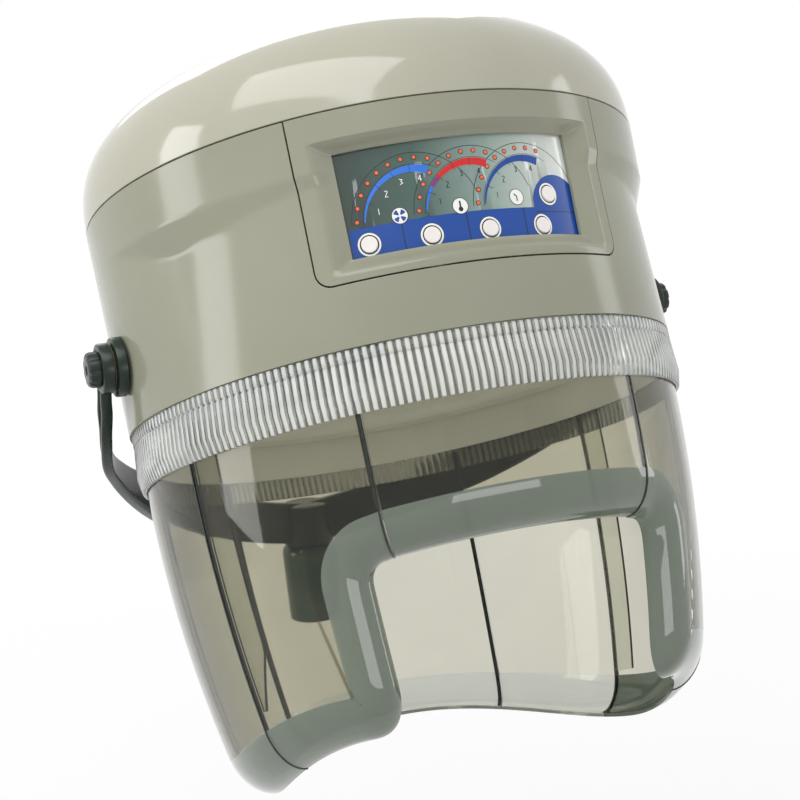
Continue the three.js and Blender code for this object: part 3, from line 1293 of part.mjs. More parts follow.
for (const [word, side] of SIDES) {
  const front = shroudPanel(FLAP_HALF_ANGLE, FRONT_SEAM_ANGLE, side);
  const middle = shroudPanel(FRONT_SEAM_ANGLE, REAR_SEAM_ANGLE, side);
  const rear = shroudPanel(REAR_SEAM_ANGLE, NAPE_SEAM_ANGLE, side);
  seam.add(piece(`${word}_front_panel`, front, CLEAR_SMOKED));
  seam.add(piece(`${word}_side_panel`, middle, CLEAR_SMOKED));
  seam.add(piece(`${word}_rear_panel`, rear, CLEAR_SMOKED));
  seam.add(piece(`${word}_front_strip`, seamStrip(FRONT_SEAM_ANGLE, side), CLEAR_SMOKED));
  seam.add(piece(`${word}_rear_strip`, seamStrip(REAR_SEAM_ANGLE, side), CLEAR_SMOKED));
  seam.add(piece(`${word}_flap_guide`, flapGuide(side), INNER_PLASTIC));
  seam.add(piece(`${word}_pivot_hub`, pivotHub(side), FORK_PAINT));
  seam.add(piece(`${word}_pivot_bracket`, pivotBracket(side), GALVANISED));
  seam.add(piece(`${word}_pivot_bolt`, pivotBolt(side), STEEL));
}
seam.add(piece("nape_panel", shroudPanel(NAPE_SEAM_ANGLE, 360 - NAPE_SEAM_ANGLE), CLEAR_SMOKED));
seam.add(piece("base_ring", baseRing(), INNER_PLASTIC));
seam.add(piece("inner_dome", innerDome(), INNER_PLASTIC));
seam.add(piece("fan_deck", fanDeck(), GALVANISED));
PILLAR_ANGLES.forEach((angle, i) => {
  seam.add(piece(`deck_pillar_${i + 1}`, deckPillar(angle), STEEL));
});
seam.add(piece("motor_bracket", motorBracket(), GALVANISED));
seam.add(piece("fan_motor", fanMotor(), STEEL));
seam.add(piece("impeller", impeller(), BLACK_PLASTIC));
seam.add(piece("heater_plate", heaterPlate(), MICA));
seam.add(piece("heater_coil", heaterCoil(), COPPER_WIRE));
seam.add(piece("thermal_cutout", thermalCutout(), BLACK_PLASTIC));
seam.add(piece("transformer", deckBox(TRANSFORMER), STEEL));
seam.add(piece("terminal_block", deckBox(TERMINALS), INNER_PLASTIC));

dryer.add(stand, yoke, hood);

export default dryer;
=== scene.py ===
"""Dresses the hood hair dryer: fine surfaces over the CAD frame, its finishes, light and camera.

Shapes are written in millimetres in the hood's own frame: its origin is on the hood's axis in the
seam plane under the cover, +Z runs up the hood and the face looks along -Y. Depths run downwards.
The fork and the pivots are written about the pivots' axis, and the socket and the fork's rear
hub about the socket's mouth.
"""

import json
import math

import bmesh
import bpy
from mathutils import Matrix, Vector


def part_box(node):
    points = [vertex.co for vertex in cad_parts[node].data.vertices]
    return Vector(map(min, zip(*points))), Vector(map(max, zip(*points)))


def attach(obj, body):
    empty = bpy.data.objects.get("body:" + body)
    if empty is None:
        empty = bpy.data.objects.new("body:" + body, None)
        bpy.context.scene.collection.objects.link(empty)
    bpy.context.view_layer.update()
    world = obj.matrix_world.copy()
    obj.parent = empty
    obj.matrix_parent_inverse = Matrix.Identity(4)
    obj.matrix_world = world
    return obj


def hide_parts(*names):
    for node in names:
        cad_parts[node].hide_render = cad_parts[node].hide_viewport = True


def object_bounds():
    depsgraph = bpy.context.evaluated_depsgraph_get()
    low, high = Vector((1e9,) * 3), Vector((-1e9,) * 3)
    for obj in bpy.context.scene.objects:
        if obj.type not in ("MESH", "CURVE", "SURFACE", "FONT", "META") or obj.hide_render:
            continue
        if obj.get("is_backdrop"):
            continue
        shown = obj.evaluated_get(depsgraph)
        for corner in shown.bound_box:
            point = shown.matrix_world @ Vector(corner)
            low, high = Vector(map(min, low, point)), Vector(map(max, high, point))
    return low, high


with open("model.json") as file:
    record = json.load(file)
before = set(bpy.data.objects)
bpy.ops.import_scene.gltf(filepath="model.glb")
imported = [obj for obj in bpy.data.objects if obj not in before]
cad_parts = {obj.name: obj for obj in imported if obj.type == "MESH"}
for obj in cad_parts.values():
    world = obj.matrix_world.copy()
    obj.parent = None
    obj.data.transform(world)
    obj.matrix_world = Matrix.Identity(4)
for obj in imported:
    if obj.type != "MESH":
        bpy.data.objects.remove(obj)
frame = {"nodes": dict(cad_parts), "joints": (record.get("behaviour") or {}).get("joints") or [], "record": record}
CAD_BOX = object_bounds()

# ---------------- places taken from the frame
MM = 0.001
JOINTS = {joint["name"]: joint for joint in frame["joints"]}
SLOTS = {part["node"]: part["material_slot"] for part in frame["record"]["subparts"]}
PIVOT = Vector(JOINTS["hood_tilt"]["pos_m"])
SEAM_ORIGIN = Vector(JOINTS["fan_spin"]["pos_m"])
HOOD_UP = Vector(JOINTS["fan_spin"]["axis"]).normalized()
HOOD_RIGHT = Vector((1, 0, 0))
HOOD_BACK = HOOD_UP.cross(HOOD_RIGHT)


def frame_matrix(origin, right=(1, 0, 0), back=(0, 1, 0), up=(0, 0, 1)):
    """Millimetres in a turned frame to metres in the row frame."""
    turned = Matrix((Vector(right), Vector(back), Vector(up))).transposed().to_4x4()
    return Matrix.Translation(origin) @ turned @ Matrix.Scale(MM, 4)


SEAM = frame_matrix(SEAM_ORIGIN, HOOD_RIGHT, HOOD_BACK, HOOD_UP)
YOKE = frame_matrix(PIVOT)
STAND = frame_matrix((0, 0, 0))
SIDES = (("left", -1), ("right", 1))

# ---------------- sizes, in millimetres
SEAM_RADIUS = 196
COVER_HEIGHT = 100
COVER_ROUNDNESS = 2.8
SKIRT_GAP = 2.7  # of the cover's skirt, inside the shell
SKIRT_WALL = 2
SKIRT_DEPTH = 8
SHUT_LINE = 1
SHELL_WALL = 3
EDGE_ROUNDING = 0.5
BODY_HEIGHT = 145.6
BODY_BOTTOM_RADIUS = 191.2
STEP_TOP = 36
STEP_FOOT = 56
STEP_DEPTH = 7
STEP_DEPTH_AT_PANEL = 3
STEP_FULL_ANGLE = 60
STEP_END_ANGLE = 84
STEP_LEFT_AT_BOTTOM = 0.2

PANEL_HALF_ANGLE = 32.2
PANEL_HEIGHT = 106.5
PANEL_CORNER = 10
RECESS_HALF_ANGLE = 28.8
RECESS_TOP = 18
RECESS_FOOT = 101
RECESS_SOFTNESS = 0.35
WINDOW_HALF_ANGLE = 25
WINDOW_TOP = 25
WINDOW_FOOT = 91.5
RECESS_DEPTH = 9
BEZEL_WALL = 2
DISPLAY_BEHIND = 0.7
DISPLAY_THICKNESS = 2
DISPLAY_MARGIN = 3
DISPLAY_HALF_ANGLE = 27
PANEL_UNROLL = 184  # turns an angle on the display into a distance

BUTTON_RADIUS = 5.2
BUTTON_PROUD = 1.2
BUTTON_DISH = 0.1  # of the height, lost in the middle
BUTTON_DISH_ROWS = (0, 0.3, 0.6, 0.8)  # shares of the radius
BUTTON_ROUND = (0.5, 0.15)
BUTTON_GAP = 0.25  # round each button, in the display and its print
FLANGE_RADIUS = BUTTON_RADIUS + 1.4
FLANGE_TOP = -3.1
FLANGE_FOOT = -4.3
STEM_RADIUS = 2.5
STEM_FOOT = -8.8
BORE_REACH = 5
BUTTONS = {
    "speed_button": (-21.3, 83.8),
    "heat_button": (-9, 84.7),
    "time_button": (3.1, 84.8),
    "stop_button": (15.5, 84.8),
    "start_button": (18.4, 64.4),
}

COLLAR_TOP_RADIUS = 189.8
COLLAR_KINK_RADIUS = 191
COLLAR_FOOT_RADIUS = 188.4
COLLAR_INNER_RADIUS = 186.7
COLLAR_TOP_DEPTH = 145.9
COLLAR_GROOVE_DEPTH = 153.7
COLLAR_KINK_DEPTH = 174.5
COLLAR_FOOT_DEPTH = 185
COLLAR_ROUND = 0.6
GROOVE_HALF = 1.2
GROOVE_CUT = 1
RIB_COUNT = 228
RIB_DEPTH = 1.5
RIB_SHAPE = (1, 0.35, 0, 0.35)  # of its depth, from one groove to the next

SHROUD_TOP_RADIUS = 186
SHROUD_TOP_DEPTH = 150
SHROUD_WALL = 2.5
SHROUD_STRAIGHT_DEPTH = 172
SHROUD_TAPER = 29.5
SHROUD_TAPER_POWER = 2.05
ROLL_WIDTH = 27
ROLL_DEPTH = 20
UNROLL_RADIUS = 178
FACE_LIP_DEPTH = 268.5
FACE_LIP_DROOP = 3.5
FACE_HALF_WIDTH = 110
FACE_TOP_FILLET = 14
FACE_SIDE_FOOT = 345
FACE_FOOT_FILLET = 30
LOBE_DEPTH = 398.5
LOBE_ANGLE = 100
NAPE_DEPTH = 366
FLAP_HALF_ANGLE = 29.2
FRONT_SEAM_ANGLE = 69.5
REAR_SEAM_ANGLE = 113.5
NAPE_SEAM_ANGLE = 148.5
SEAM_GAP = 0.6
STRIP_ANGLE = 6.6
STRIP_TOP_DEPTH = 170.3
STRIP_STRAIGHT_DEPTH = 303
STRIP_POINT_DEPTH = 345
STRIP_CUT = 5  # the strips taper towards a point this far below their foot
STRIP_FOOT_DEPTH = 366  # of the strips that don't taper
STRIP_THICKNESS = 2
STRIP_FIT = 1.6
LIP_FIT = 0.2
LIP_THICKNESS = 1
LIP_WIDTH = 3
THIN_LIP_WIDTH = 2
# The beads are dark strips of painted shade along the front seams.
BEAD_WIDTH = 1.1  # of the dark beads on the outer face along the front seams
BEAD_PROUD = 0.5
BEAD_FIT = 0.05

PIVOT_HUB_RADIUS = 20
PIVOT_HUB_LENGTH = 6.5
PIVOT_HUB_ROUND = (1.4, 0.4)
ARM_INNER = 202  # from the middle of the hood
ARM_THICKNESS = 7.5
ARM_WIDTH = 14
ARM_BOSS_RADIUS = 17
ARM_BOSS_ROUND = (1.6, 0.5)
ARM_BOSS_RIM = (3.4, 4.2)  # width of the rim at the face and at the floor of the dish
ARM_LENGTH = 60
ARM_LEAN = 18.8
DISH_DEPTH = 0.8  # of the sunk faces of the arm bosses and knobs
KNOB_RADIUS = 12
KNOB_SHOULDER = ((0, 3), (0.7, 1), (2.4, 0))  # in from the knob's edge, down from its face
KNOB_DISH_RADIUS = 3
KNOB_DISH_SLOPE = 0.6
KNOB_FLUTES = 8
FLUTE_DEPTH = 0.9
FLUTE_INNER = 9
LOOP_FALL = 29.8
LOOP_LENGTH = 255
LOOP_POWER = 1.46
LOOP_WIDTH = 34
LOOP_THICKNESS = 12
LOOP_GROWTH = (0.12, 0.6)  # shares of half the fork, between which the bar widens and thickens
BAR_CORNER = 0.55  # of half the bar's thickness
GROOVE_HALF_WIDTH = 0.42  # of half the bar's width
GROOVE_FLOOR = (0.76, 0.8)  # its height in the bar and its width in the groove, as shares
BAR_START = 13.5  # from the pivot's axis, inside the boss and clear of the knob
REAR_HUB_RADIUS = 21
REAR_HUB_ROUND = (4, 1.2)
REAR_HUB_CHAMFER = 1
BORE_FIT = 0.3
BOLT_BORE = 4 + BORE_FIT
SCREW_BORE = 3 + BORE_FIT
SCREW_HEIGHT = 26
SOCKET_LENGTH = 65
SOCKET_TOP_RADIUS = 23
SOCKET_MOUTH_RADIUS = 21
SOCKET_MOUTH_EDGE = ((0.15, 1), (-0.8, 0))  # out from that radius, and up
SOCKET_BORE_CHAMFER = (0.6, 0.8)  # across and up
SOCKET_BORE_RADIUS = 13
SOCKET_BORE_DEPTH = 56
SOCKET_SPIGOT_RADIUS = 14
SOCKET_SPIGOT = 18
SOCKET_SHOULDER = 8

DOME_TOP_DEPTH = 142.3
DOME_FLANGE_RADIUS = 177
DOME_RADIUS = 156
DOME_RISE = 25
DOME_WALL = 2
DOME_HOLE_COUNT = 8
DOME_HOLE_CIRCLE = 112
DOME_HOLE_RADIUS = 8
DOME_HOLE_REACH = (-6, 46)  # of the cutters, from the flange's face

SLOT_TOP = 52
SLOT_FOOT = 88
SLOT_ANGLE = 2.2
SLOT_COUNT = 9

COVER_SEGMENTS = 240
DOME_SEGMENTS = 144
SOCKET_SEGMENTS = 96
HUB_SEGMENTS = 72
BUTTON_SEGMENTS = 48
BORE_SEGMENTS = 32
FLUTE_SEGMENTS = 12
ROUND_STEP = 1.5  # degrees between the columns of round pieces
SHELL_ROW = 2.5  # the most between two rows of a sheet
BEZEL_ROW = 1.6
WALL_ROW = 8
DEG = math.pi / 180


def cosd(angle):
    return math.cos(angle * DEG)


def sind(angle):
    return math.sin(angle * DEG)


def new_object(name, data):
    made = bpy.data.objects.new(name, data)
    bpy.context.scene.collection.objects.link(made)
    return made


# ---------------- materials
MATERIALS = {}


def new_material(name):
    MATERIALS[name] = bpy.data.materials.new(name)
    return Nodes(MATERIALS[name])


class Nodes:
    """The node tree of a material or the world, with short ways to add and link nodes."""

    def __init__(self, owner):
        owner.use_nodes = True
        self.tree = owner.node_tree
        self.shader = self.tree.nodes.get("Principled BSDF")

    def fill(self, node, inputs):
        """Links each input that is given an output, and writes any other value on it."""
        for key, value in inputs.items():
            if isinstance(value, bpy.types.NodeSocket):
                self.tree.links.new(value, node.inputs[key])
            else:
                node.inputs[key].default_value = value

    def add(self, kind, inputs, **settings):
        node = self.tree.nodes.new(kind)
        for key, value in settings.items():
            setattr(node, key, value)
        self.fill(node, inputs)
        return node.outputs

    def set(self, **values):
        self.fill(self.shader, {key.replace("_", " "): value for key, value in values.items()})

    def position(self):
        return self.add("ShaderNodeTexCoord", {})["Object"]

    def noise(self, scale, detail, vector=None):
        inputs = {"Scale": scale, "Detail": detail, "Vector": vector or self.position()}
        return self.add("ShaderNodeTexNoise", inputs)["Fac"]

    def ramp(self, source, stops):
        tone = self.add("ShaderNodeValToRGB", {"Fac": source})["Color"]
        elements = tone.node.color_ramp.elements
        while len(elements) < len(stops):
            elements.new(0.5)
        for element, (place, colour) in zip(elements, stops):
            element.position = place
            element.color = (*colour, 1)
        return tone

    def spread(self, source, low, high, start=0.0, end=1.0):
        inputs = {"From Min": start, "From Max": end, "To Min": low, "To Max": high}
        return self.add("ShaderNodeMapRange", {"Value": source, **inputs})["Result"]

    def math(self, operation, first, second):
        return self.add("ShaderNodeMath", {0: first, 1: second}, operation=operation)["Value"]

    def multiply(self, first, second, factor=1.0):
        inputs = {"Factor": factor, "A": first, "B": second}
        return self.add("ShaderNodeMix", inputs, data_type="RGBA", blend_type="MULTIPLY")["Result"]

    def bump(self, source, strength, distance):
        inputs = {"Strength": strength, "Distance": distance, "Height": source}
        self.set(Normal=self.add("ShaderNodeBump", inputs)["Normal"])

    def seen_directly(self):
        """1 for what the camera sees, also in a reflection or through clear plastic."""
        path = self.add("ShaderNodeLightPath", {})
        seen = self.math("MAXIMUM", path["Is Camera Ray"], path["Is Glossy Ray"])
        return self.math("MAXIMUM", seen, path["Is Transmission Ray"])


def grey(value):
    return (value, value, value)


def shade(colour, factor=1.0):
    """A colour as seen on screen, 0 to 255, in Blender's linear values, made lighter or darker."""
    parts = [value / 255 for value in colour]
    values = [v / 12.92 if v <= 0.04045 else ((v + 0.055) / 1.055) ** 2.4 for v in parts]
    return tuple(min(1.0, value * factor) for value in values)


def moulded(name, colour, roughness=0.28, grain=0.04, coat=0.0, variation=0.04, specular=0.5):
    """A moulded, painted or printed surface: colour drift, uneven gloss and a fine skin."""
    nodes = new_material(name)
    low, high = shade(colour, 1 - variation), shade(colour, 1 + variation)
    drift = nodes.ramp(nodes.noise(9, 4), [(0.35, low), (0.65, high)])
    gloss = nodes.spread(nodes.noise(60, 5), roughness * 0.85, roughness * 1.15)
    nodes.bump(nodes.noise(1800, 2), grain, 0.0002)
    nodes.set(Base_Color=drift, Roughness=gloss, Specular_IOR_Level=specular)
    nodes.set(Coat_Weight=coat, Coat_Roughness=0.08)


def brushed(name, colour, roughness=0.32):
    """Drawn or brushed metal with fine lines across it."""
    nodes = new_material(name)
    stretch = {"Scale": (40, 40, 1800), "Vector": nodes.position()}
    lines = nodes.noise(1, 2, nodes.add("ShaderNodeMapping", stretch)["Vector"])
    tone = nodes.ramp(lines, [(0.3, shade(colour, 0.86)), (0.7, shade(colour))])
    gloss = nodes.spread(lines, roughness * 0.8, roughness * 1.3)
    nodes.bump(lines, 0.1, 0.0001)
    nodes.set(Base_Color=tone, Roughness=gloss, Metallic=1.0)


def clear_plastic(name, colour, roughness=0.02, waviness=0.03, opacity=0.0, coat=0.0, edge=1.0):
    """Clear plastic with a smoky tint; opacity mixes in a milky surface.

    Seen at a slant, light passes through more of the sheet, so the tint darkens there by edge.
    """
    nodes = new_material(name)
    tint = nodes.ramp(nodes.noise(7, 2), [(0.3, shade(colour, 0.96)), (0.7, shade(colour, 1.03))])
    slant = nodes.add("ShaderNodeLayerWeight", {"Blend": 0.4})["Facing"]
    smoky = nodes.multiply(tint, nodes.ramp(slant, [(0.2, grey(1)), (0.9, grey(edge))]))
    gloss = nodes.spread(nodes.noise(35, 4), roughness * 0.7, roughness * 1.5)
    nodes.bump(nodes.noise(26, 2), waviness, 0.0012)
    nodes.set(Base_Color=smoky, Roughness=gloss, Transmission_Weight=1.0 - opacity, IOR=1.3)
    nodes.set(Coat_Weight=coat, Coat_Roughness=0.02)


def gradient_face(name, stops, half_width):
    """The printed display: a colour gradient across its width under a glossy face."""
    nodes = new_material(name)
    across = nodes.add("ShaderNodeSeparateXYZ", {"Vector": nodes.position()})["X"]
    place = nodes.spread(across, 0.0, 1.0, -half_width * MM, half_width * MM)
    tone = nodes.ramp(place, [(stop, shade(colour)) for stop, colour in stops])
    grain = nodes.ramp(nodes.noise(160, 5), [(0.3, grey(0.75)), (0.7, grey(1))])
    nodes.bump(nodes.noise(900, 2), 0.03, 0.0001)
    nodes.set(Base_Color=nodes.multiply(tone, grain, 0.25), Roughness=0.12)
    nodes.set(Coat_Weight=0.6, Coat_Roughness=0.05)


def lamp_lens(name, colour):
    nodes = new_material(name)
    tone = nodes.ramp(nodes.noise(700, 2), [(0.3, shade(colour, 0.8)), (0.7, shade(colour, 1.15))])
    nodes.set(Base_Color=tone, Roughness=0.15)
    nodes.set(Emission_Strength=0.25, Emission_Color=(*shade(colour), 1))


moulded("cover_plastic", (172, 170, 153), roughness=0.1, coat=0.3, specular=0.4)
moulded("shell_plastic", (147, 148, 130), roughness=0.15, coat=0.1, specular=0.3)
moulded("fork_paint", (27, 40, 32), grain=0.02, specular=0.3)
moulded("socket_paint", (20, 62, 44), roughness=0.16, coat=0.3)
clear_plastic("clear_smoked", (208, 206, 192), edge=0.22)
# The ribs' plastic, and a darker, clearer copy of it for the faces at the grooves: painted shade between the ribs.
clear_plastic("rib_clear", (250, 251, 251), roughness=0.05, waviness=0.02, opacity=0.5, edge=0.5)
clear_plastic("rib_groove_painted_shade", (186, 190, 182), roughness=0.06, waviness=0.02, opacity=0.2, edge=0.5)
# The rolled rim: on the front panels a darker, more opaque copy of the shroud's smoky plastic, as painted shade on
# the rolled edge; on the rear panels and nape a paler, clearer copy.
clear_plastic("rim_painted_shade", (124, 134, 120), roughness=0.04, opacity=0.6, coat=0.6)
clear_plastic("rim_clear", (226, 228, 220), roughness=0.03, opacity=0.25, coat=0.5)
clear_plastic("strip_clear", (226, 228, 218), roughness=0.03)
# Dark plastic for painted shade: the lips and beads along the shroud's seams and the panels' cut edges are drawn
# dark to show the shade in the seams.
moulded("seam_dark", (30, 37, 31), roughness=0.25, grain=0.02)
DISPLAY_STOPS = [
    (0.0, (44, 62, 54)),
    (0.3, (62, 92, 84)),
    (0.62, (142, 164, 156)),
    (1.0, (226, 230, 224)),
]
gradient_face("display_face", DISPLAY_STOPS, 76)
moulded("button_white", (236, 230, 226), roughness=0.3)
INKS = {
    "blue": (12, 68, 150),
    "black": (16, 22, 24),
    "white": (238, 238, 234),
    "sky": (44, 112, 214),
    "red": (206, 32, 34),
    "violet": (122, 52, 120),
}
for ink_name, ink_colour in INKS.items():
    moulded(f"ink_{ink_name}", ink_colour, roughness=0.3, grain=0.02, variation=0.07)
lamp_lens("lamp_red", (226, 96, 58))
brushed("steel", (176, 178, 178))
brushed("galvanised", (188, 192, 194), roughness=0.42)
brushed("coil_wire", (170, 122, 84), roughness=0.35)
moulded("board_green", (28, 92, 52), roughness=0.45, grain=0.2)
moulded("black_plastic", (34, 36, 35), roughness=0.42, grain=0.15)
# Pale plastic, made lighter still as painted light for the shaded inside of the hood.
moulded("inner_plastic", (236, 235, 226), roughness=0.36, grain=0.08)
moulded("mica", (180, 164, 128), roughness=0.55, grain=0.2, variation=0.15)
moulded("filter_foam", (54, 56, 53), roughness=0.95, grain=0.9, variation=0.3)
moulded("friction_fibre", (96, 80, 62), roughness=0.8, grain=0.5)


# ---------------- mesh building
class Form:
    """Points and faces in millimetres, gathered into one mesh."""

    def __init__(self):
        self.points = []
        self.faces = []
        self.tags = []

    def face(self, corners, tag=0):
        self.faces.append(tuple(corners))
        self.tags.append(tag)

    def lines(self, lines, closed=False):
        """Joins lists of points, all of one length, with strips of faces."""
        base, across = len(self.points), len(lines[0])
        for line in lines:
            self.points.extend(line)
        for i in range(len(lines) - 1):
            for j in range(across if closed else across - 1):
                a, b = base + i * across + j, base + i * across + (j + 1) % across
                self.face((a, b, b + across, a + across))

    def bar(self, rings):
        """Joins closed rings of points and shuts both ends."""
        first, count = len(self.points), len(rings[0])
        self.lines(rings, closed=True)
        for start in (first, len(self.points) - count):
            self.face(range(start, start + count))
        return self

    def sheet(
        self, columns, rows, point, wall, wrap=False, present=None, rim_row=None, side_tag=None
    ):
        """A sheet with thickness: columns run along it and rows run down it.

        point gives a place at a depth below the face. Rows from rim_row take the second material.
        """
        rim_row = len(rows) if rim_row is None else rim_row
        base, across, down = len(self.points), len(columns), len(rows)
        for column in columns:
            for row in rows:
                self.points.append(point(column, row, 0))
                self.points.append(point(column, row, wall))
        cells = across if wrap else across - 1

        def out(i, j):
            return base + 2 * ((i % across) * down + j)

        def there(i, j):
            i = i % cells if wrap else i
            inside = 0 <= i < cells and 0 <= j < down - 1
            return inside and (present is None or present(i, j))

        for i in range(cells):
            for j in range(down - 1):
                if not there(i, j):
                    continue
                mark = int(j >= rim_row)
                edge = mark if side_tag is None else side_tag
                a, b, c, d = out(i, j), out(i, j + 1), out(i + 1, j + 1), out(i + 1, j)
                self.face((a, b, c, d), mark)
                self.face((a + 1, d + 1, c + 1, b + 1), mark)
                if not there(i, j - 1):
                    self.face((a, d, d + 1, a + 1), mark)
                if not there(i, j + 1):
                    self.face((b, b + 1, c + 1, c), mark)
                if not there(i - 1, j):
                    self.face((a, a + 1, b + 1, b), edge)
                if not there(i + 1, j):
                    self.face((d, c, c + 1, d + 1), edge)
        return self

    def turned(self, profile, segments, ring=False, wave=None):
        """A profile of (radius, height) turned round +Z; wave changes the radius by angle."""
        lines = []
        for radius, height in [*profile, profile[0]] if ring else profile:
            line = []
            for k in range(segments):
                turn = 2 * math.pi * k / segments
                r = radius + (wave(k, radius) if wave else 0)
                line.append((r * math.cos(turn), r * math.sin(turn), height))
            lines.append(line)
        self.lines(lines, closed=True)
        return self

    def make(self, name, materials, node=None, body="hood", matrix=SEAM, sharp=32, bevel=0.0):
        """The form as a piece of the scene, which hides the node that it replaces."""
        mesh = bpy.data.meshes.new(name)
        mesh.from_pydata([tuple(matrix @ Vector(point)) for point in self.points], [], self.faces)
        for material in [materials] if isinstance(materials, str) else materials:
            mesh.materials.append(MATERIALS[material])
        for polygon, tag in zip(mesh.polygons, self.tags):
            polygon.material_index = tag
        piece = new_object(name, mesh)
        weld_and_turn(mesh)
        mesh.shade_smooth()
        mesh.set_sharp_from_angle(angle=math.radians(sharp))
        if bevel:
            rounded = piece.modifiers.new("rounded_edges", "BEVEL")
            rounded.width = bevel * MM
            rounded.segments = 2
            rounded.limit_method = "ANGLE"
            rounded.angle_limit = math.radians(40)
            rounded.harden_normals = True
        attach(piece, body)
        if node:
            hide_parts(node)
        return piece


def weld_and_turn(mesh):
    """Merges points that meet and turns the faces outwards."""
    work = bmesh.new()
    work.from_mesh(mesh)
    bmesh.ops.remove_doubles(work, verts=work.verts, dist=0.01 * MM)
    bmesh.ops.dissolve_degenerate(work, edges=work.edges, dist=0.001 * MM)
    bmesh.ops.recalc_face_normals(work, faces=work.faces)
    work.to_mesh(mesh)
    work.free()
    mesh.update()


def cut_away(piece, cutters):
    """Cuts the cutters' shapes out of a piece and removes them."""
    for cutter in cutters:
        cut = piece.modifiers.new("cut", "BOOLEAN")
        cut.operation = "DIFFERENCE"
        cut.object = cutter
        cut.solver = "EXACT"
    graph = bpy.context.evaluated_depsgraph_get()
    piece.data = bpy.data.meshes.new_from_object(piece.evaluated_get(graph))
    piece.modifiers.clear()
    for cutter in cutters:
        bpy.data.objects.remove(cutter)


def steps(start, end, most):
    """Even values from start to end, both included."""
    count = max(1, math.ceil((end - start) / most - 1e-9))
    return [start + (end - start) * i / count for i in range(count + 1)]


def marked(start, end, most, marks):
    """Even values that also pass through the given marks."""
    stops = sorted({start, end, *[m for m in marks if start < m < end]})
    values = [start]
    for low, high in zip(stops, stops[1:]):
        values.extend(steps(low, high, most)[1:])
    return values


def clamp(value, low=0.0, high=1.0):
    return max(low, min(high, value))


def smooth(value):
    value = clamp(value)
    return value * value * (3 - 2 * value)


def around(angle, radius, depth, side=1):
    return (side * radius * sind(angle), -radius * cosd(angle), -depth)


def degrees_of(distance, radius):
    return distance / radius / DEG


def rod(radius, start, end):
    """The profile of a plain rod."""
    return [(0, start), (radius, start), (radius, end), (0, end)]


def rounding(radius, top, reach, knee):
    """Profile points round an outer edge, which it leaves at reach from the corner."""
    return [(radius, top - reach), (radius - knee, top - knee), (radius - reach, top)]


# ---------------- the body's form
def base_radius(depth):
    return SEAM_RADIUS - (SEAM_RADIUS - BODY_BOTTOM_RADIUS) * depth / BODY_HEIGHT


def step_inset(angle, depth):
    off = abs(angle - 360 if angle > 180 else angle)
    grow = clamp((off - PANEL_HALF_ANGLE) / (STEP_FULL_ANGLE - PANEL_HALF_ANGLE))
    fade = smooth((STEP_END_ANGLE - off) / (STEP_END_ANGLE - STEP_FULL_ANGLE))
    full = (STEP_DEPTH_AT_PANEL + (STEP_DEPTH - STEP_DEPTH_AT_PANEL) * grow) * fade
    slope = max(0.0, depth - STEP_TOP) * STEP_DEPTH / (STEP_FOOT - STEP_TOP)
    below = clamp((depth - STEP_FOOT) / (BODY_HEIGHT - STEP_FOOT))
    return min(full, slope) * (1 - below * (1 - STEP_LEFT_AT_BOTTOM))


def body_radius(angle, depth):
    return base_radius(depth) - step_inset(angle, depth)


def panel_edge(margin):
    """Half the control panel's angle, and the angles across its rounded lower corner."""
    half = PANEL_HALF_ANGLE + degrees_of(margin, SEAM_RADIUS)
    corner = degrees_of(PANEL_CORNER + margin, SEAM_RADIUS)
    return half, [half - corner * (1 - cosd(t)) for t in steps(0, 90, 15)]


def panel_foot(angle, margin):
    """Depth of the control panel's lower edge, with its rounded corners."""
    foot, half = PANEL_HEIGHT + margin, PANEL_HALF_ANGLE + degrees_of(margin, SEAM_RADIUS)
    corner = PANEL_CORNER + margin
    off = abs(angle if angle <= 180 else angle - 360)
    run = clamp((off - (half - degrees_of(corner, SEAM_RADIUS))) * DEG * SEAM_RADIUS, 0, corner)
    return foot - corner + math.sqrt(corner * corner - run * run)


def make_cover():
    base = SHUT_LINE / 2
    wall = SEAM_RADIUS - SHELL_WALL - SKIRT_GAP
    power = 2 / COVER_ROUNDNESS
    turns = steps(0, 90, ROUND_STEP)

    def arc(radius, height):
        return [(radius * sind(t), base + height * max(0.0, cosd(t)) ** power) for t in turns]

    outer = arc(SEAM_RADIUS, COVER_HEIGHT - base)
    inner = arc(wall - SKIRT_WALL, COVER_HEIGHT - SHELL_WALL - base)[::-1]
    skirt = [(wall, base), (wall, -SKIRT_DEPTH), (wall - SKIRT_WALL, -SKIRT_DEPTH)]
    form = Form().turned([*outer, *skirt, *inner], COVER_SEGMENTS)
    form.make("cover_finish", "cover_plastic", "top_cover", bevel=EDGE_ROUNDING)


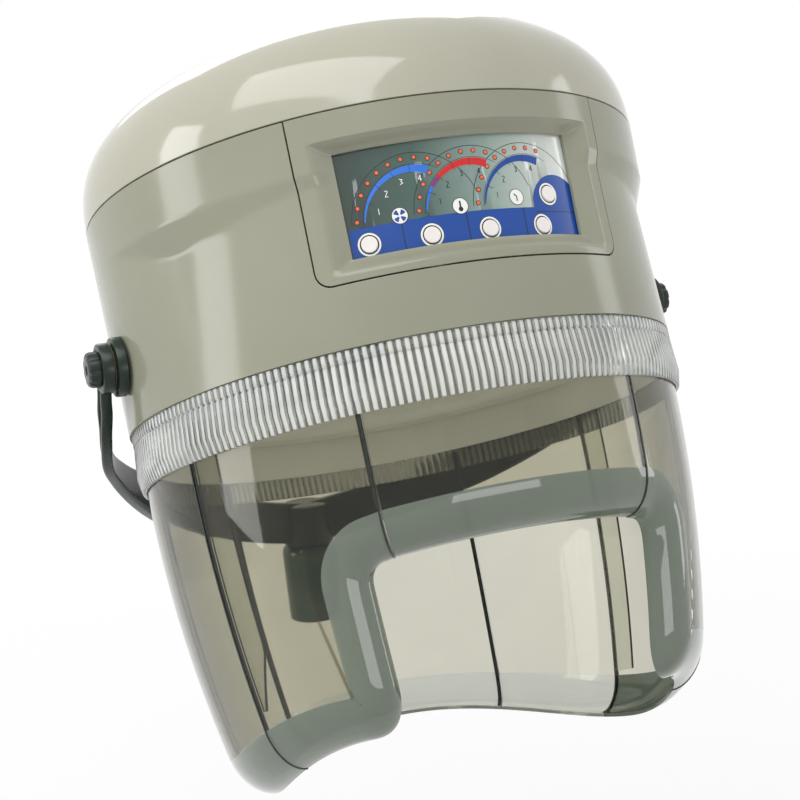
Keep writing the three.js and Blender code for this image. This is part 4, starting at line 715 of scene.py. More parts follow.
def make_shell():
    margin = SHUT_LINE / 2
    open_angle, fine = panel_edge(margin)
    slot_start = 180 - SLOT_ANGLE * (2 * SLOT_COUNT - 1) / 2
    slots = [slot_start + SLOT_ANGLE * i for i in range(2 * SLOT_COUNT)]
    marks = [*fine, *[360 - f for f in fine], STEP_END_ANGLE, 360 - STEP_END_ANGLE, *slots]
    columns = marked(0, 360, ROUND_STEP, marks)[:-1]
    cut = panel_foot(open_angle, margin)
    upper = marked(margin, cut, SHELL_ROW, [STEP_TOP, STEP_FOOT, SLOT_TOP, SLOT_FOOT])
    rows = [("depth", d) for d in upper] + [("share", s) for s in steps(0, 1, 1 / 16)[1:]]
    inside = len(upper) - 1

    def beside(angle):
        return min(angle, 360 - angle) < open_angle

    def depth_of(angle, row):
        kind, value = row
        if kind == "share":
            top = panel_foot(angle, margin) if beside(angle) else cut
            return top + (BODY_HEIGHT - top) * value
        return panel_foot(angle, margin) if value == upper[-1] and beside(angle) else value

    def point(angle, row, inset):
        depth = depth_of(angle, row)
        return around(angle, body_radius(angle, depth) - inset, depth)

    def present(i, j):
        if j >= inside:
            return True
        angle = (columns[i] + (columns[i + 1] if i + 1 < len(columns) else 360)) / 2
        place = (angle - slot_start) / SLOT_ANGLE
        in_slot = 0 < place < 2 * SLOT_COUNT - 1 and int(place) % 2 == 0
        in_slot = in_slot and SLOT_TOP < (upper[j] + upper[j + 1]) / 2 < SLOT_FOOT
        return not (beside(angle) or in_slot)

    form = Form().sheet(columns, rows, point, SHELL_WALL, wrap=True, present=present)
    form.make("shell_finish", "shell_plastic", "main_shell", bevel=EDGE_ROUNDING)


# ---------------- control panel
def recess_share(angle, depth):
    share = min(
        (RECESS_HALF_ANGLE - abs(angle)) / (RECESS_HALF_ANGLE - WINDOW_HALF_ANGLE),
        (depth - RECESS_TOP) / (WINDOW_TOP - RECESS_TOP),
        (RECESS_FOOT - depth) / (RECESS_FOOT - WINDOW_FOOT),
    )
    share = clamp(share)
    return RECESS_SOFTNESS * smooth(share) + (1 - RECESS_SOFTNESS) * share


def glass_radius(depth):
    return base_radius(depth) - RECESS_DEPTH


def display_radius(depth):
    return glass_radius(depth) - BEZEL_WALL - DISPLAY_BEHIND


def make_bezel():
    margin = -SHUT_LINE / 2
    edge, fine = panel_edge(margin)
    marks = [*fine, RECESS_HALF_ANGLE, WINDOW_HALF_ANGLE]
    columns = marked(-edge, edge, 1, [*marks, *[-m for m in marks]])
    heights = [RECESS_TOP, WINDOW_TOP, STEP_TOP, STEP_FOOT, WINDOW_FOOT]
    upper = marked(-margin, RECESS_FOOT - WALL_ROW, BEZEL_ROW, heights)
    rows = [("depth", d) for d in upper] + [("share", s) for s in steps(0, 1, 1 / 8)[1:]]

    def point(angle, row, inset):
        kind, depth = row
        if kind == "share":
            depth = upper[-1] + (panel_foot(angle, margin) - upper[-1]) * depth
        share = recess_share(angle, depth)
        radius = body_radius(angle, depth) * (1 - share) + glass_radius(depth) * share
        return around(angle, radius - inset, depth)

    def present(i, j):
        if abs(columns[i] + columns[i + 1]) / 2 > WINDOW_HALF_ANGLE or j >= len(upper) - 1:
            return True
        return not WINDOW_TOP < (upper[j] + upper[j + 1]) / 2 < WINDOW_FOOT

    form = Form().sheet(columns, rows, point, BEZEL_WALL, present=present)
    form.make("bezel_finish", "shell_plastic", "panel_bezel", bevel=EDGE_ROUNDING)


def button_matrix(angle, depth):
    """A button's own frame, with +Z out of the display."""
    outward = Vector((sind(angle), -cosd(angle), 0))
    turn = outward.to_track_quat("Z", "Y").to_matrix().to_4x4()
    return SEAM @ Matrix.Translation(around(angle, display_radius(depth), depth)) @ turn


def make_display():
    form = Form().sheet(
        steps(-DISPLAY_HALF_ANGLE, DISPLAY_HALF_ANGLE, 1),
        [WINDOW_TOP - DISPLAY_MARGIN, WINDOW_FOOT + DISPLAY_MARGIN],
        lambda angle, depth, inset: around(angle, display_radius(depth) - inset, depth),
        DISPLAY_THICKNESS,
    )
    display = form.make("display_finish", "display_face", "display_panel")
    cutters = []
    profile = rod(BUTTON_RADIUS + BUTTON_GAP, -BORE_REACH, BORE_REACH)
    for name, place in BUTTONS.items():
        bore = Form().turned(profile, BUTTON_SEGMENTS)
        cutters.append(bore.make(f"{name}_bore", "display_face", matrix=button_matrix(*place)))
    cut_away(display, cutters)


def make_buttons():
    rim, high = BUTTON_RADIUS, BUTTON_PROUD
    profile = [(rim * s, high * (1 - BUTTON_DISH * (1 - s * s))) for s in BUTTON_DISH_ROWS]
    profile += rounding(rim, high, *BUTTON_ROUND)[::-1]
    profile += [(rim, FLANGE_TOP), (FLANGE_RADIUS, FLANGE_TOP), (FLANGE_RADIUS, FLANGE_FOOT)]
    profile += [(STEM_RADIUS, FLANGE_FOOT), (STEM_RADIUS, STEM_FOOT), (0, STEM_FOOT)]
    for name, place in BUTTONS.items():
        form = Form().turned(profile, BUTTON_SEGMENTS)
        form.make(f"{name}_finish", "button_white", name, body=name, matrix=button_matrix(*place))


# ---------------- the display's print
STRIP_PRINT_TOP = 73  # of the blue strip; the start button sits in the bump above it
STRIP_PRINT_FOOT = WINDOW_FOOT + 2
STRIP_LEFT = -79.5
STRIP_RIGHT = 81
BUMP_CENTRE = 66.5
BUMP_RADIUS = 21.5
BUMP_TURNS = (165, 30)  # where the bump's arc starts and ends
DIVIDERS = (-46.5, -4.5, 36.5)
DIVIDER_HALF = 0.3
BUMP_LINE = (45.5, 75.6, 76.1)  # its left end, top and foot
GAUGES = ((-34.5, 73.7), (4.7, 73.4), (43.7, 73.0))  # centres of the three arcs
GAUGE_RADIUS = 39  # of the row of lamps; the other radii of a gauge are counted from it
GAUGE_LAMPS = 9
GAUGE_START = 173  # degrees, at the first lamp
GAUGE_END = 72
GAUGE_ARCS = ((3.4, 3, 20), (-3.9, -4.15, 60))  # outer and inner edge, and the last angle
ARC_START = 176
BAND_EDGE = -4.6
BAND_START = 174
BAND_END = 70
BANDS = (  # gauge, ink, first and last angle, thickness at both
    (0, "sky", BAND_START, BAND_END, 0.8, 5.2),
    (1, "sky", BAND_START, 146, 0.8, 2.2),
    (1, "violet", 146, 134, 2.2, 2.9),
    (1, "red", 134, BAND_END, 2.9, 5.2),
    (2, "blue", BAND_START, BAND_END, 0.8, 5.2),
)
TICKS = (-4.8, -9.6)
TICK_WIDTH = 0.28
NUMERAL_RADIUS = -13.2
NUMERAL_START = 160
NUMERAL_STEP = 27
NUMERAL_SIZE = 1.9
NUMERAL_STROKE = 0.456
LAMP_RADIUS = 1.15
LAMP_RING = 0.45
SMALL_ROUND = 18  # segments of the smallest printed discs
ICON_RADIUS = 4.9
ICON_RING = 0.4
ICONS = ((-14.5, 69.7), (-2.3, 69.0), (10.3, 66.1))
BLADE_HALF_ANGLE = 24
BLADE_TIP = 0.8  # inside the icon's edge
BLADE_ROOT = 1
BULB_RADIUS = 1.5
STEM_LINE = [(0, 2), (0, -3.2)]  # of the thermometer, with the bulb at its foot
HANDS_LINE = [(0, 2.6), (0, -0.4), (-1.8, -2)]  # of the clock
STEM_WIDTH = 1.1
HANDS_WIDTH = 0.8
BUTTON_RINGS = (("black", "band", 2.4, 0.2), ("white", "button_ring", 2.1, 0.9))
LIFTS = {  # of each printed layer above the display's face
    "area": 0.05,
    "arc": 0.08,
    "band": 0.1,
    "lamp_ring": 0.12,
    "tick": 0.14,
    "icon_ring": 0.15,
    "button_ring": 0.16,
    "disc": 0.2,
    "symbol": 0.27,
}
# Strokes of the numerals 1 to 4 on a grid one unit wide and two high.
NUMERALS = (
    [(0.5, 0), (0.5, 2)],
    [(0, 0.2), (0.5, 0), (1, 0.3), (0, 2), (1, 2)],
    [(0, 0.1), (1, 0.4), (0.4, 0.9), (1, 1.5), (0, 1.9)],
    [(0.7, 2), (0.7, 0), (0, 1.3), (1, 1.3)],
)


def spot(angle, depth):
    """A place on the display as (along, depth)."""
    return (angle * DEG * PANEL_UNROLL, depth)


PRINTS = {name: Form() for name in (*INKS, "lamps")}


def ink(colour, first, second, layer):
    """A printed band between two lines of (along, depth) points."""

    def lifted(along, depth):
        radius = display_radius(depth) + LIFTS[layer]
        return around(degrees_of(along, PANEL_UNROLL), radius, depth)

    PRINTS[colour].lines([[lifted(*p) for p in line] for line in (first, second)])


def ink_between(colour, along, top, foot, layer="area"):
    """A printed band between two edges, each a depth or one depth for each place along."""
    edges = [edge if isinstance(edge, list) else [edge] * len(along) for edge in (top, foot)]
    ink(colour, *[list(zip(along, edge)) for edge in edges], layer)


def ink_area(left, right, top, foot, holes):
    """A blue area between an edge and a depth, left open round the buttons' holes."""
    radius = BUTTON_RADIUS + BUTTON_GAP
    start = left
    for centre, depth in sorted(holes):
        plain = steps(start, centre - radius, 3)
        ink_between("blue", plain, [top(a) for a in plain], foot)
        turns = steps(-90, 90, 10)
        along = [centre + radius * sind(turn) for turn in turns]
        reach = [radius * cosd(turn) for turn in turns]
        ink_between("blue", along, [top(a) for a in along], [depth - r for r in reach])
        ink_between("blue", along, [depth + r for r in reach], foot)
        start = centre + radius
    plain = steps(start, right, 1)
    ink_between("blue", plain, [top(a) for a in plain], foot)


def arc_point(centre, radius, turn):
    return (centre[0] + radius * cosd(turn), centre[1] - radius * sind(turn))


def arc_points(centre, radius, start, end, count=30, growth=0.0):
    """Points on an arc, whose radius changes by growth from its start to its end."""
    shares = [k / count for k in range(count + 1)]
    return [arc_point(centre, radius + growth * s, start + (end - start) * s) for s in shares]


def ink_disc(colour, centre, radius, layer, inner=0.0, segments=28):
    ink(colour, *[arc_points(centre, r, 0, -360, segments) for r in (radius, inner)], layer)


def ink_stroke(colour, points, width, layer):
    for (x0, y0), (x1, y1) in zip(points, points[1:]):
        length = math.hypot(x1 - x0, y1 - y0)
        nx, ny = (y1 - y0) / length * width / 2, -(x1 - x0) / length * width / 2
        edges = [[(x0 + nx * s, y0 + ny * s), (x1 + nx * s, y1 + ny * s)] for s in (1, -1)]
        ink(colour, *edges, layer)


def print_strip():
    holes = [spot(*place) for place in BUTTONS.values()]
    row = [hole for hole in holes if hole[1] > STRIP_PRINT_TOP]
    corner = [hole for hole in holes if hole[1] < STRIP_PRINT_TOP]
    bump_ends = [BUMP_CENTRE + BUMP_RADIUS * cosd(turn) for turn in BUMP_TURNS]

    def bump_top(along):
        return STRIP_PRINT_TOP - math.sqrt(max(0.0, BUMP_RADIUS**2 - (along - BUMP_CENTRE) ** 2))

    ink_area(STRIP_LEFT, STRIP_RIGHT, lambda along: STRIP_PRINT_TOP, STRIP_PRINT_FOOT, row)
    ink_area(*bump_ends, bump_top, STRIP_PRINT_TOP, corner)
    for along in DIVIDERS:
        line = [along - DIVIDER_HALF, along + DIVIDER_HALF]
        ink_between("black", line, STRIP_PRINT_TOP, STRIP_PRINT_FOOT, "band")
    left, top, foot = BUMP_LINE
    ink_between("black", steps(left, STRIP_RIGHT, 3), top, foot, "band")


def print_gauges():
    for centre in GAUGES:
        for outer, inner, end in GAUGE_ARCS:
            edges = [arc_points(centre, GAUGE_RADIUS + r, ARC_START, end) for r in (outer, inner)]
            ink("black", *edges, "arc")
        for place in arc_points(centre, GAUGE_RADIUS, GAUGE_START, GAUGE_END, GAUGE_LAMPS - 1):
            ink_disc("black", place, LAMP_RADIUS + LAMP_RING, "lamp_ring", segments=SMALL_ROUND)
            ink_disc("lamps", place, LAMP_RADIUS, "disc", segments=SMALL_ROUND)
    for gauge, colour, start, end, thin, thick in BANDS:
        edge = GAUGE_RADIUS + BAND_EDGE
        outer = arc_points(GAUGES[gauge], edge, start, end)
        inner = arc_points(GAUGES[gauge], edge - thin, start, end, growth=thin - thick)
        ink(colour, outer, inner, "band")
    for centre in GAUGES:
        for k in range(1, 5):
            turn = BAND_START + (BAND_END - BAND_START) * k / 5
            tick = [arc_point(centre, GAUGE_RADIUS + r, turn) for r in TICKS]
            ink_stroke("black", tick, TICK_WIDTH, "tick")
    for centre, colour in zip(GAUGES, ("white", "black", "black")):
        for k, points in enumerate(NUMERALS):
            turn = NUMERAL_START - NUMERAL_STEP * k
            left, top = arc_point(centre, GAUGE_RADIUS + NUMERAL_RADIUS, turn)
            size = NUMERAL_SIZE
            placed = [(left + (x - 0.5) * size, top + (y - 1) * size) for x, y in points]
            ink_stroke(colour, placed, NUMERAL_STROKE, "band")


def print_icons():
    places = [spot(*place) for place in ICONS]
    for place in places:
        ink_disc("black", place, ICON_RADIUS + ICON_RING, "icon_ring")
        ink_disc("white", place, ICON_RADIUS, "disc")
    fan, heat, clock = places

    def symbol(centre, points, width):
        ink_stroke("black", [(centre[0] + x, centre[1] + y) for x, y in points], width, "symbol")

    for turn in range(45, 360, 90):
        turns = (turn - BLADE_HALF_ANGLE, turn + BLADE_HALF_ANGLE)
        blade = [arc_points(fan, r, *turns, 6) for r in (ICON_RADIUS - BLADE_TIP, BLADE_ROOT)]
        ink("blue", *blade, "symbol")
    bulb = (heat[0], heat[1] + STEM_LINE[0][1])
    ink_disc("black", bulb, BULB_RADIUS, "symbol", segments=SMALL_ROUND)
    symbol(heat, STEM_LINE, STEM_WIDTH)
    symbol(clock, HANDS_LINE, HANDS_WIDTH)


def make_display_art():
    print_strip()
    print_gauges()
    print_icons()
    for place in BUTTONS.values():
        for colour, layer, outer, inner in BUTTON_RINGS:
            ink_disc(colour, spot(*place), BUTTON_RADIUS + outer, layer, BUTTON_RADIUS + inner)
    for name in INKS:
        PRINTS[name].make(f"display_ink_{name}", f"ink_{name}")
    PRINTS["lamps"].make("display_lamps", "lamp_red")


# ---------------- collar and shroud
def make_collar():
    points = [
        (COLLAR_INNER_RADIUS, COLLAR_TOP_DEPTH),
        (COLLAR_TOP_RADIUS - COLLAR_ROUND, COLLAR_TOP_DEPTH),
        (COLLAR_TOP_RADIUS, COLLAR_TOP_DEPTH + COLLAR_ROUND),
        (COLLAR_TOP_RADIUS, COLLAR_GROOVE_DEPTH - GROOVE_HALF),
        (COLLAR_TOP_RADIUS - GROOVE_CUT, COLLAR_GROOVE_DEPTH),
        (COLLAR_TOP_RADIUS, COLLAR_GROOVE_DEPTH + GROOVE_HALF),
        (COLLAR_KINK_RADIUS, COLLAR_KINK_DEPTH),
        (COLLAR_FOOT_RADIUS + COLLAR_ROUND, COLLAR_FOOT_DEPTH - COLLAR_ROUND),
        (COLLAR_FOOT_RADIUS, COLLAR_FOOT_DEPTH),
        (COLLAR_INNER_RADIUS, COLLAR_FOOT_DEPTH),
    ]
    per_rib = len(RIB_SHAPE)

    def wave(k, radius):
        return 0 if radius <= COLLAR_INNER_RADIUS else -RIB_DEPTH * RIB_SHAPE[k % per_rib]

    profile = [(radius, -depth) for radius, depth in points]
    form = Form().turned(profile, RIB_COUNT * per_rib, ring=True, wave=wave)
    # Faces at the grooves between the ribs take the darker copy: painted shade in the grooves.
    form.tags = [0 if index % per_rib in (1, 2) else 1 for index in range(len(form.faces))]
    form.make("collar_ribbed", ("rib_clear", "rib_groove_painted_shade"), "rib_collar", sharp=50)


def wall_radius(depth):
    share = max(0.0, depth - SHROUD_STRAIGHT_DEPTH) / (LOBE_DEPTH - SHROUD_STRAIGHT_DEPTH)
    return SHROUD_TOP_RADIUS - SHROUD_TAPER * share**SHROUD_TAPER_POWER


def along_of(angle):
    return angle * DEG * UNROLL_RADIUS


def angle_of(along):
    return degrees_of(along, UNROLL_RADIUS)


CORNER_ANGLE = angle_of(FACE_HALF_WIDTH + FACE_FOOT_FILLET)
CORNER_DEPTH = FACE_SIDE_FOOT + FACE_FOOT_FILLET
HALF_GAP = angle_of(SEAM_GAP / 2)


def lower_edge(angle):
    def ease(start, end, share):
        return start + (end - start) * (1 - math.cos(math.pi * share)) / 2

    if angle < LOBE_ANGLE:
        return ease(CORNER_DEPTH, LOBE_DEPTH, (angle - CORNER_ANGLE) / (LOBE_ANGLE - CORNER_ANGLE))
    return ease(LOBE_DEPTH, NAPE_DEPTH, (angle - LOBE_ANGLE) / (180 - LOBE_ANGLE))


def face_lip(along):
    return FACE_LIP_DEPTH + FACE_LIP_DROOP * (along / FACE_HALF_WIDTH) ** 2


def quadratic(a, b, c, count):
    """Points on a curve from a to c that heads for b at both ends."""
    return [
        tuple((1 - t) ** 2 * a[k] + 2 * t * (1 - t) * b[k] + t * t * c[k] for k in (0, 1))
        for t in steps(0, 1, 1 / count)
    ]


def edge_between(start, end):
    """The shroud's edge as (along, depth) points, from one seam angle to the next."""
    if end <= FLAP_HALF_ANGLE:
        return [(along_of(a), face_lip(abs(along_of(a)))) for a in steps(start, end, ROUND_STEP)]

    def lower(first):
        return [(along_of(a), lower_edge(min(a, 360 - a))) for a in steps(first, end, ROUND_STEP)]

    if start > FLAP_HALF_ANGLE + SEAM_GAP:
        return lower(start)
    lip = face_lip(FACE_HALF_WIDTH)
    points = [(along_of(start), face_lip(along_of(start)))]
    inner = FACE_HALF_WIDTH - FACE_TOP_FILLET
    filleted = lip + FACE_TOP_FILLET
    points += quadratic((inner, lip), (FACE_HALF_WIDTH, lip), (FACE_HALF_WIDTH, filleted), 12)
    points += [(FACE_HALF_WIDTH, d) for d in steps(filleted, FACE_SIDE_FOOT, 5)[1:-1]]
    side_foot = (FACE_HALF_WIDTH, FACE_SIDE_FOOT)
    foot = (FACE_HALF_WIDTH + FACE_FOOT_FILLET, CORNER_DEPTH)
    points += quadratic(side_foot, (FACE_HALF_WIDTH, CORNER_DEPTH), foot, 14)
    return points + lower(CORNER_ANGLE)[1:]


def shroud_columns(start, end):
    """Edge points with the direction into the wall, and where each column ends at the top."""
    points = edge_between(start, end)
    columns = [[*points[0], 0.0, -1.0]]
    for (a0, d0), here, (a1, d1) in zip(points, points[1:], points[2:]):
        length = math.hypot(a1 - a0, d1 - d0)
        columns.append([*here, (d1 - d0) / length, -(a1 - a0) / length])
    columns.append([*points[-1], 0.0, -1.0])
    rolled = [(a + na * ROLL_WIDTH, d + nd * ROLL_WIDTH) for a, d, na, nd in columns]
    run = [0.0]
    for (a0, d0), (a1, d1) in zip(rolled, rolled[1:]):
        run.append(run[-1] + math.hypot(a1 - a0, d1 - d0))
    plain = start > FLAP_HALF_ANGLE + SEAM_GAP or end <= FLAP_HALF_ANGLE
    for column, length in zip(columns, run):
        spread = start + (end - start) * length / run[-1]
        column.append(angle_of(column[0]) if plain else spread)
    return columns


ROLL_TURNS = steps(0, 90, 7.5)
WALL_ROWS = [("fixed", d) for d in steps(SHROUD_TOP_DEPTH, SHROUD_STRAIGHT_DEPTH, WALL_ROW)]
WALL_ROWS += [("share", s) for s in steps(0, 1, 1 / 14)[::-1][1:-1]]
WALL_ROWS += [("turn", t) for t in ROLL_TURNS]


def shroud_point(column, row, inset, side):
    along, depth, na, nd, top = column
    kind, value = row
    if kind == "fixed":
        return around(top, wall_radius(value) - inset, value, side)
    turn = value if kind == "turn" else 0
    share = value if kind == "share" else 0.0
    inward = ROLL_WIDTH * (1 - sind(turn)) + inset * sind(turn)
    rolled_along, rolled_depth = along + na * inward, depth + nd * inward
    place_along = rolled_along + (along_of(top) - rolled_along) * share
    place_depth = rolled_depth + (SHROUD_STRAIGHT_DEPTH - rolled_depth) * share
    turn_in = ROLL_DEPTH * (1 - cosd(turn)) + inset * cosd(turn)
    radius = wall_radius(place_depth) - turn_in
    return around(angle_of(place_along), radius, place_depth, side)


def make_shroud_panel(node, start, end, side=1, body="hood", rim="rim_painted_shade"):
    form = Form().sheet(
        shroud_columns(start + HALF_GAP, end - HALF_GAP),
        WALL_ROWS,
        lambda column, row, inset: shroud_point(column, row, inset, side),
        SHROUD_WALL,
        rim_row=len(WALL_ROWS) - len(ROLL_TURNS),
        side_tag=2,
    )
    # Cut edges along the seams take the third material: painted shade in the seams.
    form.make(f"{node}_clear", ("clear_smoked", rim, "seam_dark"), node, body=body, sharp=50)


def make_strip(node, seam, side, tapers=True):
    foot = STRIP_POINT_DEPTH if tapers else STRIP_FOOT_DEPTH

    def point(share, depth, inset):
        fade = (STRIP_POINT_DEPTH + STRIP_CUT - depth) / (STRIP_POINT_DEPTH - STRIP_STRAIGHT_DEPTH)
        width = STRIP_ANGLE * (min(1.0, fade) if tapers else 1.0)
        radius = wall_radius(depth) - SHROUD_WALL - STRIP_FIT - inset
        return around(seam - HALF_GAP - width * (1 - share), radius, depth, side)

    rows = marked(STRIP_TOP_DEPTH, foot, WALL_ROW, [STRIP_STRAIGHT_DEPTH])
    form = Form().sheet(steps(0, 1, 0.25), rows, point, STRIP_THICKNESS, side_tag=1)
    # The strip's side edges take the second material: painted shade in the seams.
    form.make(f"{node}_clear", ("strip_clear", "seam_dark"), node)


def make_seam_lip(name, side, angle, width, near=SHROUD_WALL + LIP_FIT, thickness=LIP_THICKNESS):
    """A dark lip of painted shade along a seam, behind the shroud or, with a near below 0, on its outer face."""
    columns = []
    for turn in (angle, angle + angle_of(width)):
        edge = face_lip(along_of(turn)) if turn < FLAP_HALF_ANGLE + 2 else lower_edge(turn)
        columns.append([along_of(turn), edge, 0.0, -1.0, turn])
    rows = [row for row in WALL_ROWS if row[0] != "fixed" or row[1] >= SHROUD_STRAIGHT_DEPTH]

    def point(column, row, inset):
        return shroud_point(column, row, near + inset, side)

    Form().sheet(columns, rows, point, thickness).make(name, "seam_dark")


def make_shroud():
    make_shroud_panel("front_flap", -FLAP_HALF_ANGLE, FLAP_HALF_ANGLE, body="flap")
    flap_seam = FLAP_HALF_ANGLE + angle_of(SEAM_GAP)
    bead = (BEAD_WIDTH, -BEAD_PROUD - BEAD_FIT, BEAD_PROUD)
    # Lips behind the seams and beads on the outer face, all dark: painted shade in the seams.
    lips = (
        ("flap_lip", flap_seam, LIP_WIDTH),
        ("flap_bead", flap_seam, *bead),
        ("front_bead", FRONT_SEAM_ANGLE, *bead),
        ("front_lip", FRONT_SEAM_ANGLE, THIN_LIP_WIDTH),
        ("side_lip", REAR_SEAM_ANGLE, THIN_LIP_WIDTH),
        ("rear_lip", NAPE_SEAM_ANGLE, LIP_WIDTH),
    )
    rear = (REAR_SEAM_ANGLE, NAPE_SEAM_ANGLE)
    for word, side in SIDES:
        make_shroud_panel(f"{word}_front_panel", FLAP_HALF_ANGLE, FRONT_SEAM_ANGLE, side)
        make_shroud_panel(f"{word}_side_panel", FRONT_SEAM_ANGLE, REAR_SEAM_ANGLE, side)
        for name, *lip in lips:
            make_seam_lip(f"{word}_{name}", side, *lip)
        make_shroud_panel(f"{word}_rear_panel", *rear, side, rim="rim_clear")
        make_strip(f"{word}_front_strip", FRONT_SEAM_ANGLE, side)
        make_strip(f"{word}_rear_strip", REAR_SEAM_ANGLE, side, tapers=False)
    make_shroud_panel("nape_panel", NAPE_SEAM_ANGLE, 360 - NAPE_SEAM_ANGLE, rim="rim_clear")


def make_dome():
    def arc(radius, rise):
        return [(radius * cosd(t), -DOME_TOP_DEPTH + rise * sind(t)) for t in steps(0, 90, 5)]

    under = -DOME_TOP_DEPTH - DOME_WALL
    inner = DOME_RADIUS - DOME_WALL
    flange = [(DOME_FLANGE_RADIUS, -DOME_TOP_DEPTH), (DOME_FLANGE_RADIUS, under), (inner, under)]
    profile = [*arc(DOME_RADIUS, DOME_RISE)[::-1], *flange, *arc(inner, DOME_RISE - DOME_WALL)]
    form = Form().turned(profile, DOME_SEGMENTS)
    dome = form.make("dome_finish", "inner_plastic", "inner_dome")
    cutters = Form()
    for k in range(DOME_HOLE_COUNT):
        place = around(360 * k / DOME_HOLE_COUNT, DOME_HOLE_CIRCLE, 0)
        circle = [arc_point(place, DOME_HOLE_RADIUS, -turn) for turn in range(0, 360, 15)]
        heights = [reach - DOME_TOP_DEPTH for reach in DOME_HOLE_REACH]
        cutters.bar([[(x, y, height) for x, y in circle] for height in heights])
    cut_away(dome, [cutters.make("dome_holes", "inner_plastic")])


# ---------------- fork, pivots and socket
def fork_line():
    """Centre line control points of the right half, from the pivot to the back."""
    arm_x = ARM_INNER + ARM_THICKNESS / 2
    foot_y, foot_z = ARM_LENGTH * sind(ARM_LEAN), -ARM_LENGTH * cosd(ARM_LEAN)
    points = [Vector((arm_x, foot_y * s, foot_z * s)) for s in (0, 0.4, 0.8)]
    for turn in range(10, 91, 10):
        across = arm_x * max(0.0, cosd(turn)) ** (2 / LOOP_POWER)
        along = LOOP_LENGTH * sind(turn) ** (2 / LOOP_POWER)
        back, down = along * cosd(LOOP_FALL), along * sind(LOOP_FALL)
        points.append(Vector((across, foot_y + back, foot_z - down)))
    points[-1].x = 0
    return points


def curve_through(points, per_span):
    """A centripetal curve through the points."""

    def between(p, q, start, end, t):
        return p * ((end - t) / (end - start)) + q * ((t - start) / (end - start))

    extended = [points[0] * 2 - points[1], *points, points[-1] * 2 - points[-2]]
    curve = []
    for p0, p1, p2, p3 in zip(extended, extended[1:], extended[2:], extended[3:]):
        t0 = 0.0
        t1 = t0 + (p1 - p0).length ** 0.5
        t2 = t1 + (p2 - p1).length ** 0.5
        t3 = t2 + (p3 - p2).length ** 0.5
        for k in range(per_span):
            t = t1 + (t2 - t1) * k / per_span
            a1 = between(p0, p1, t0, t1, t)
            a2 = between(p1, p2, t1, t2, t)
            a3 = between(p2, p3, t2, t3, t)
            b1, b2 = between(a1, a2, t0, t2, t), between(a2, a3, t1, t3, t)
            curve.append(between(b1, b2, t1, t2, t))
    curve.append(points[-1].copy())
    return curve


def bar_section(half_thick, half_width):
    """A rounded bar with a shallow groove along its outer face."""
    corner = half_thick * BAR_CORNER
    groove = half_width * GROOVE_HALF_WIDTH
    floor, inner = half_thick * GROOVE_FLOOR[0], groove * GROOVE_FLOOR[1]
    points = []
    for sx, sy, start in ((1, 1, 0), (-1, 1, 90), (-1, -1, 180), (1, -1, 270)):
        centre = (sx * (half_thick - corner), sy * (half_width - corner))
        points += [arc_point(centre, corner, -turn) for turn in range(start, start + 91, 18)]
    return points + [(half_thick, -groove), (floor, -inner), (floor, inner), (half_thick, groove)]


def sideways(side):
    """The pivots' frame with +Z out of one side."""
    return YOKE @ Matrix.Rotation(math.radians(90 * side), 4, "Y")


def make_fork():
    right = fork_line()
    left = [Vector((-p.x, p.y, p.z)) for p in right[:-1]]
    curve = curve_through([*left, *right[::-1]], 8)
    curve = [place for place in curve if math.hypot(place.y, place.z) > BAR_START]
    lengths = [0.0]
    for a, b in zip(curve, curve[1:]):
        lengths.append(lengths[-1] + (b - a).length)
    rings = []
    first, last = LOOP_GROWTH
    for i, place in enumerate(curve):
        along = (curve[min(len(curve) - 1, i + 1)] - curve[max(0, i - 1)]).normalized()
        outward = Vector((-along.y, along.x, 0)).normalized()
        across = along.cross(outward)
        share = lengths[i] / lengths[-1]
        grow = smooth((min(share, 1 - share) * 2 - first) / (last - first))
        half_width = (ARM_WIDTH + (LOOP_WIDTH - ARM_WIDTH) * grow) / 2
        half_thick = (ARM_THICKNESS + (LOOP_THICKNESS - ARM_THICKNESS) * grow) / 2
        section = bar_section(half_thick, half_width)
        rings.append([tuple(place + outward * o + across * u) for o, u in section])
    Form().bar(rings).make("fork_bar", "fork_paint", "fork", body="stand", matrix=YOKE, sharp=40)
    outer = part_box("fork")[1].x / MM
    inner = outer - ARM_THICKNESS
    dish = outer - DISH_DEPTH
    profile = [(BOLT_BORE, inner), (ARM_BOSS_RADIUS, inner)]
    profile += rounding(ARM_BOSS_RADIUS, outer, *ARM_BOSS_ROUND)
    rim = [ARM_BOSS_RADIUS - width for width in ARM_BOSS_RIM]
    profile += [(rim[0], outer), (rim[1], dish), (BOLT_BORE, dish)]
    for word, side in SIDES:
        boss = Form().turned(profile, HUB_SEGMENTS, ring=True)
        boss.make(f"{word}_arm_boss", "fork_paint", body="stand", matrix=sideways(side), sharp=40)
    foot = SOCKET_LENGTH + BORE_FIT
    top = foot + LOOP_WIDTH
    profile = [(0, foot), (REAR_HUB_RADIUS - REAR_HUB_CHAMFER, foot)]
    profile += [(REAR_HUB_RADIUS, foot + REAR_HUB_CHAMFER)]
    profile += [*rounding(REAR_HUB_RADIUS, top, *REAR_HUB_ROUND), (0, top)]
    hub = Form().turned(profile, HUB_SEGMENTS)
    hub.make("fork_rear_hub", "fork_paint", body="stand", matrix=STAND, sharp=40)


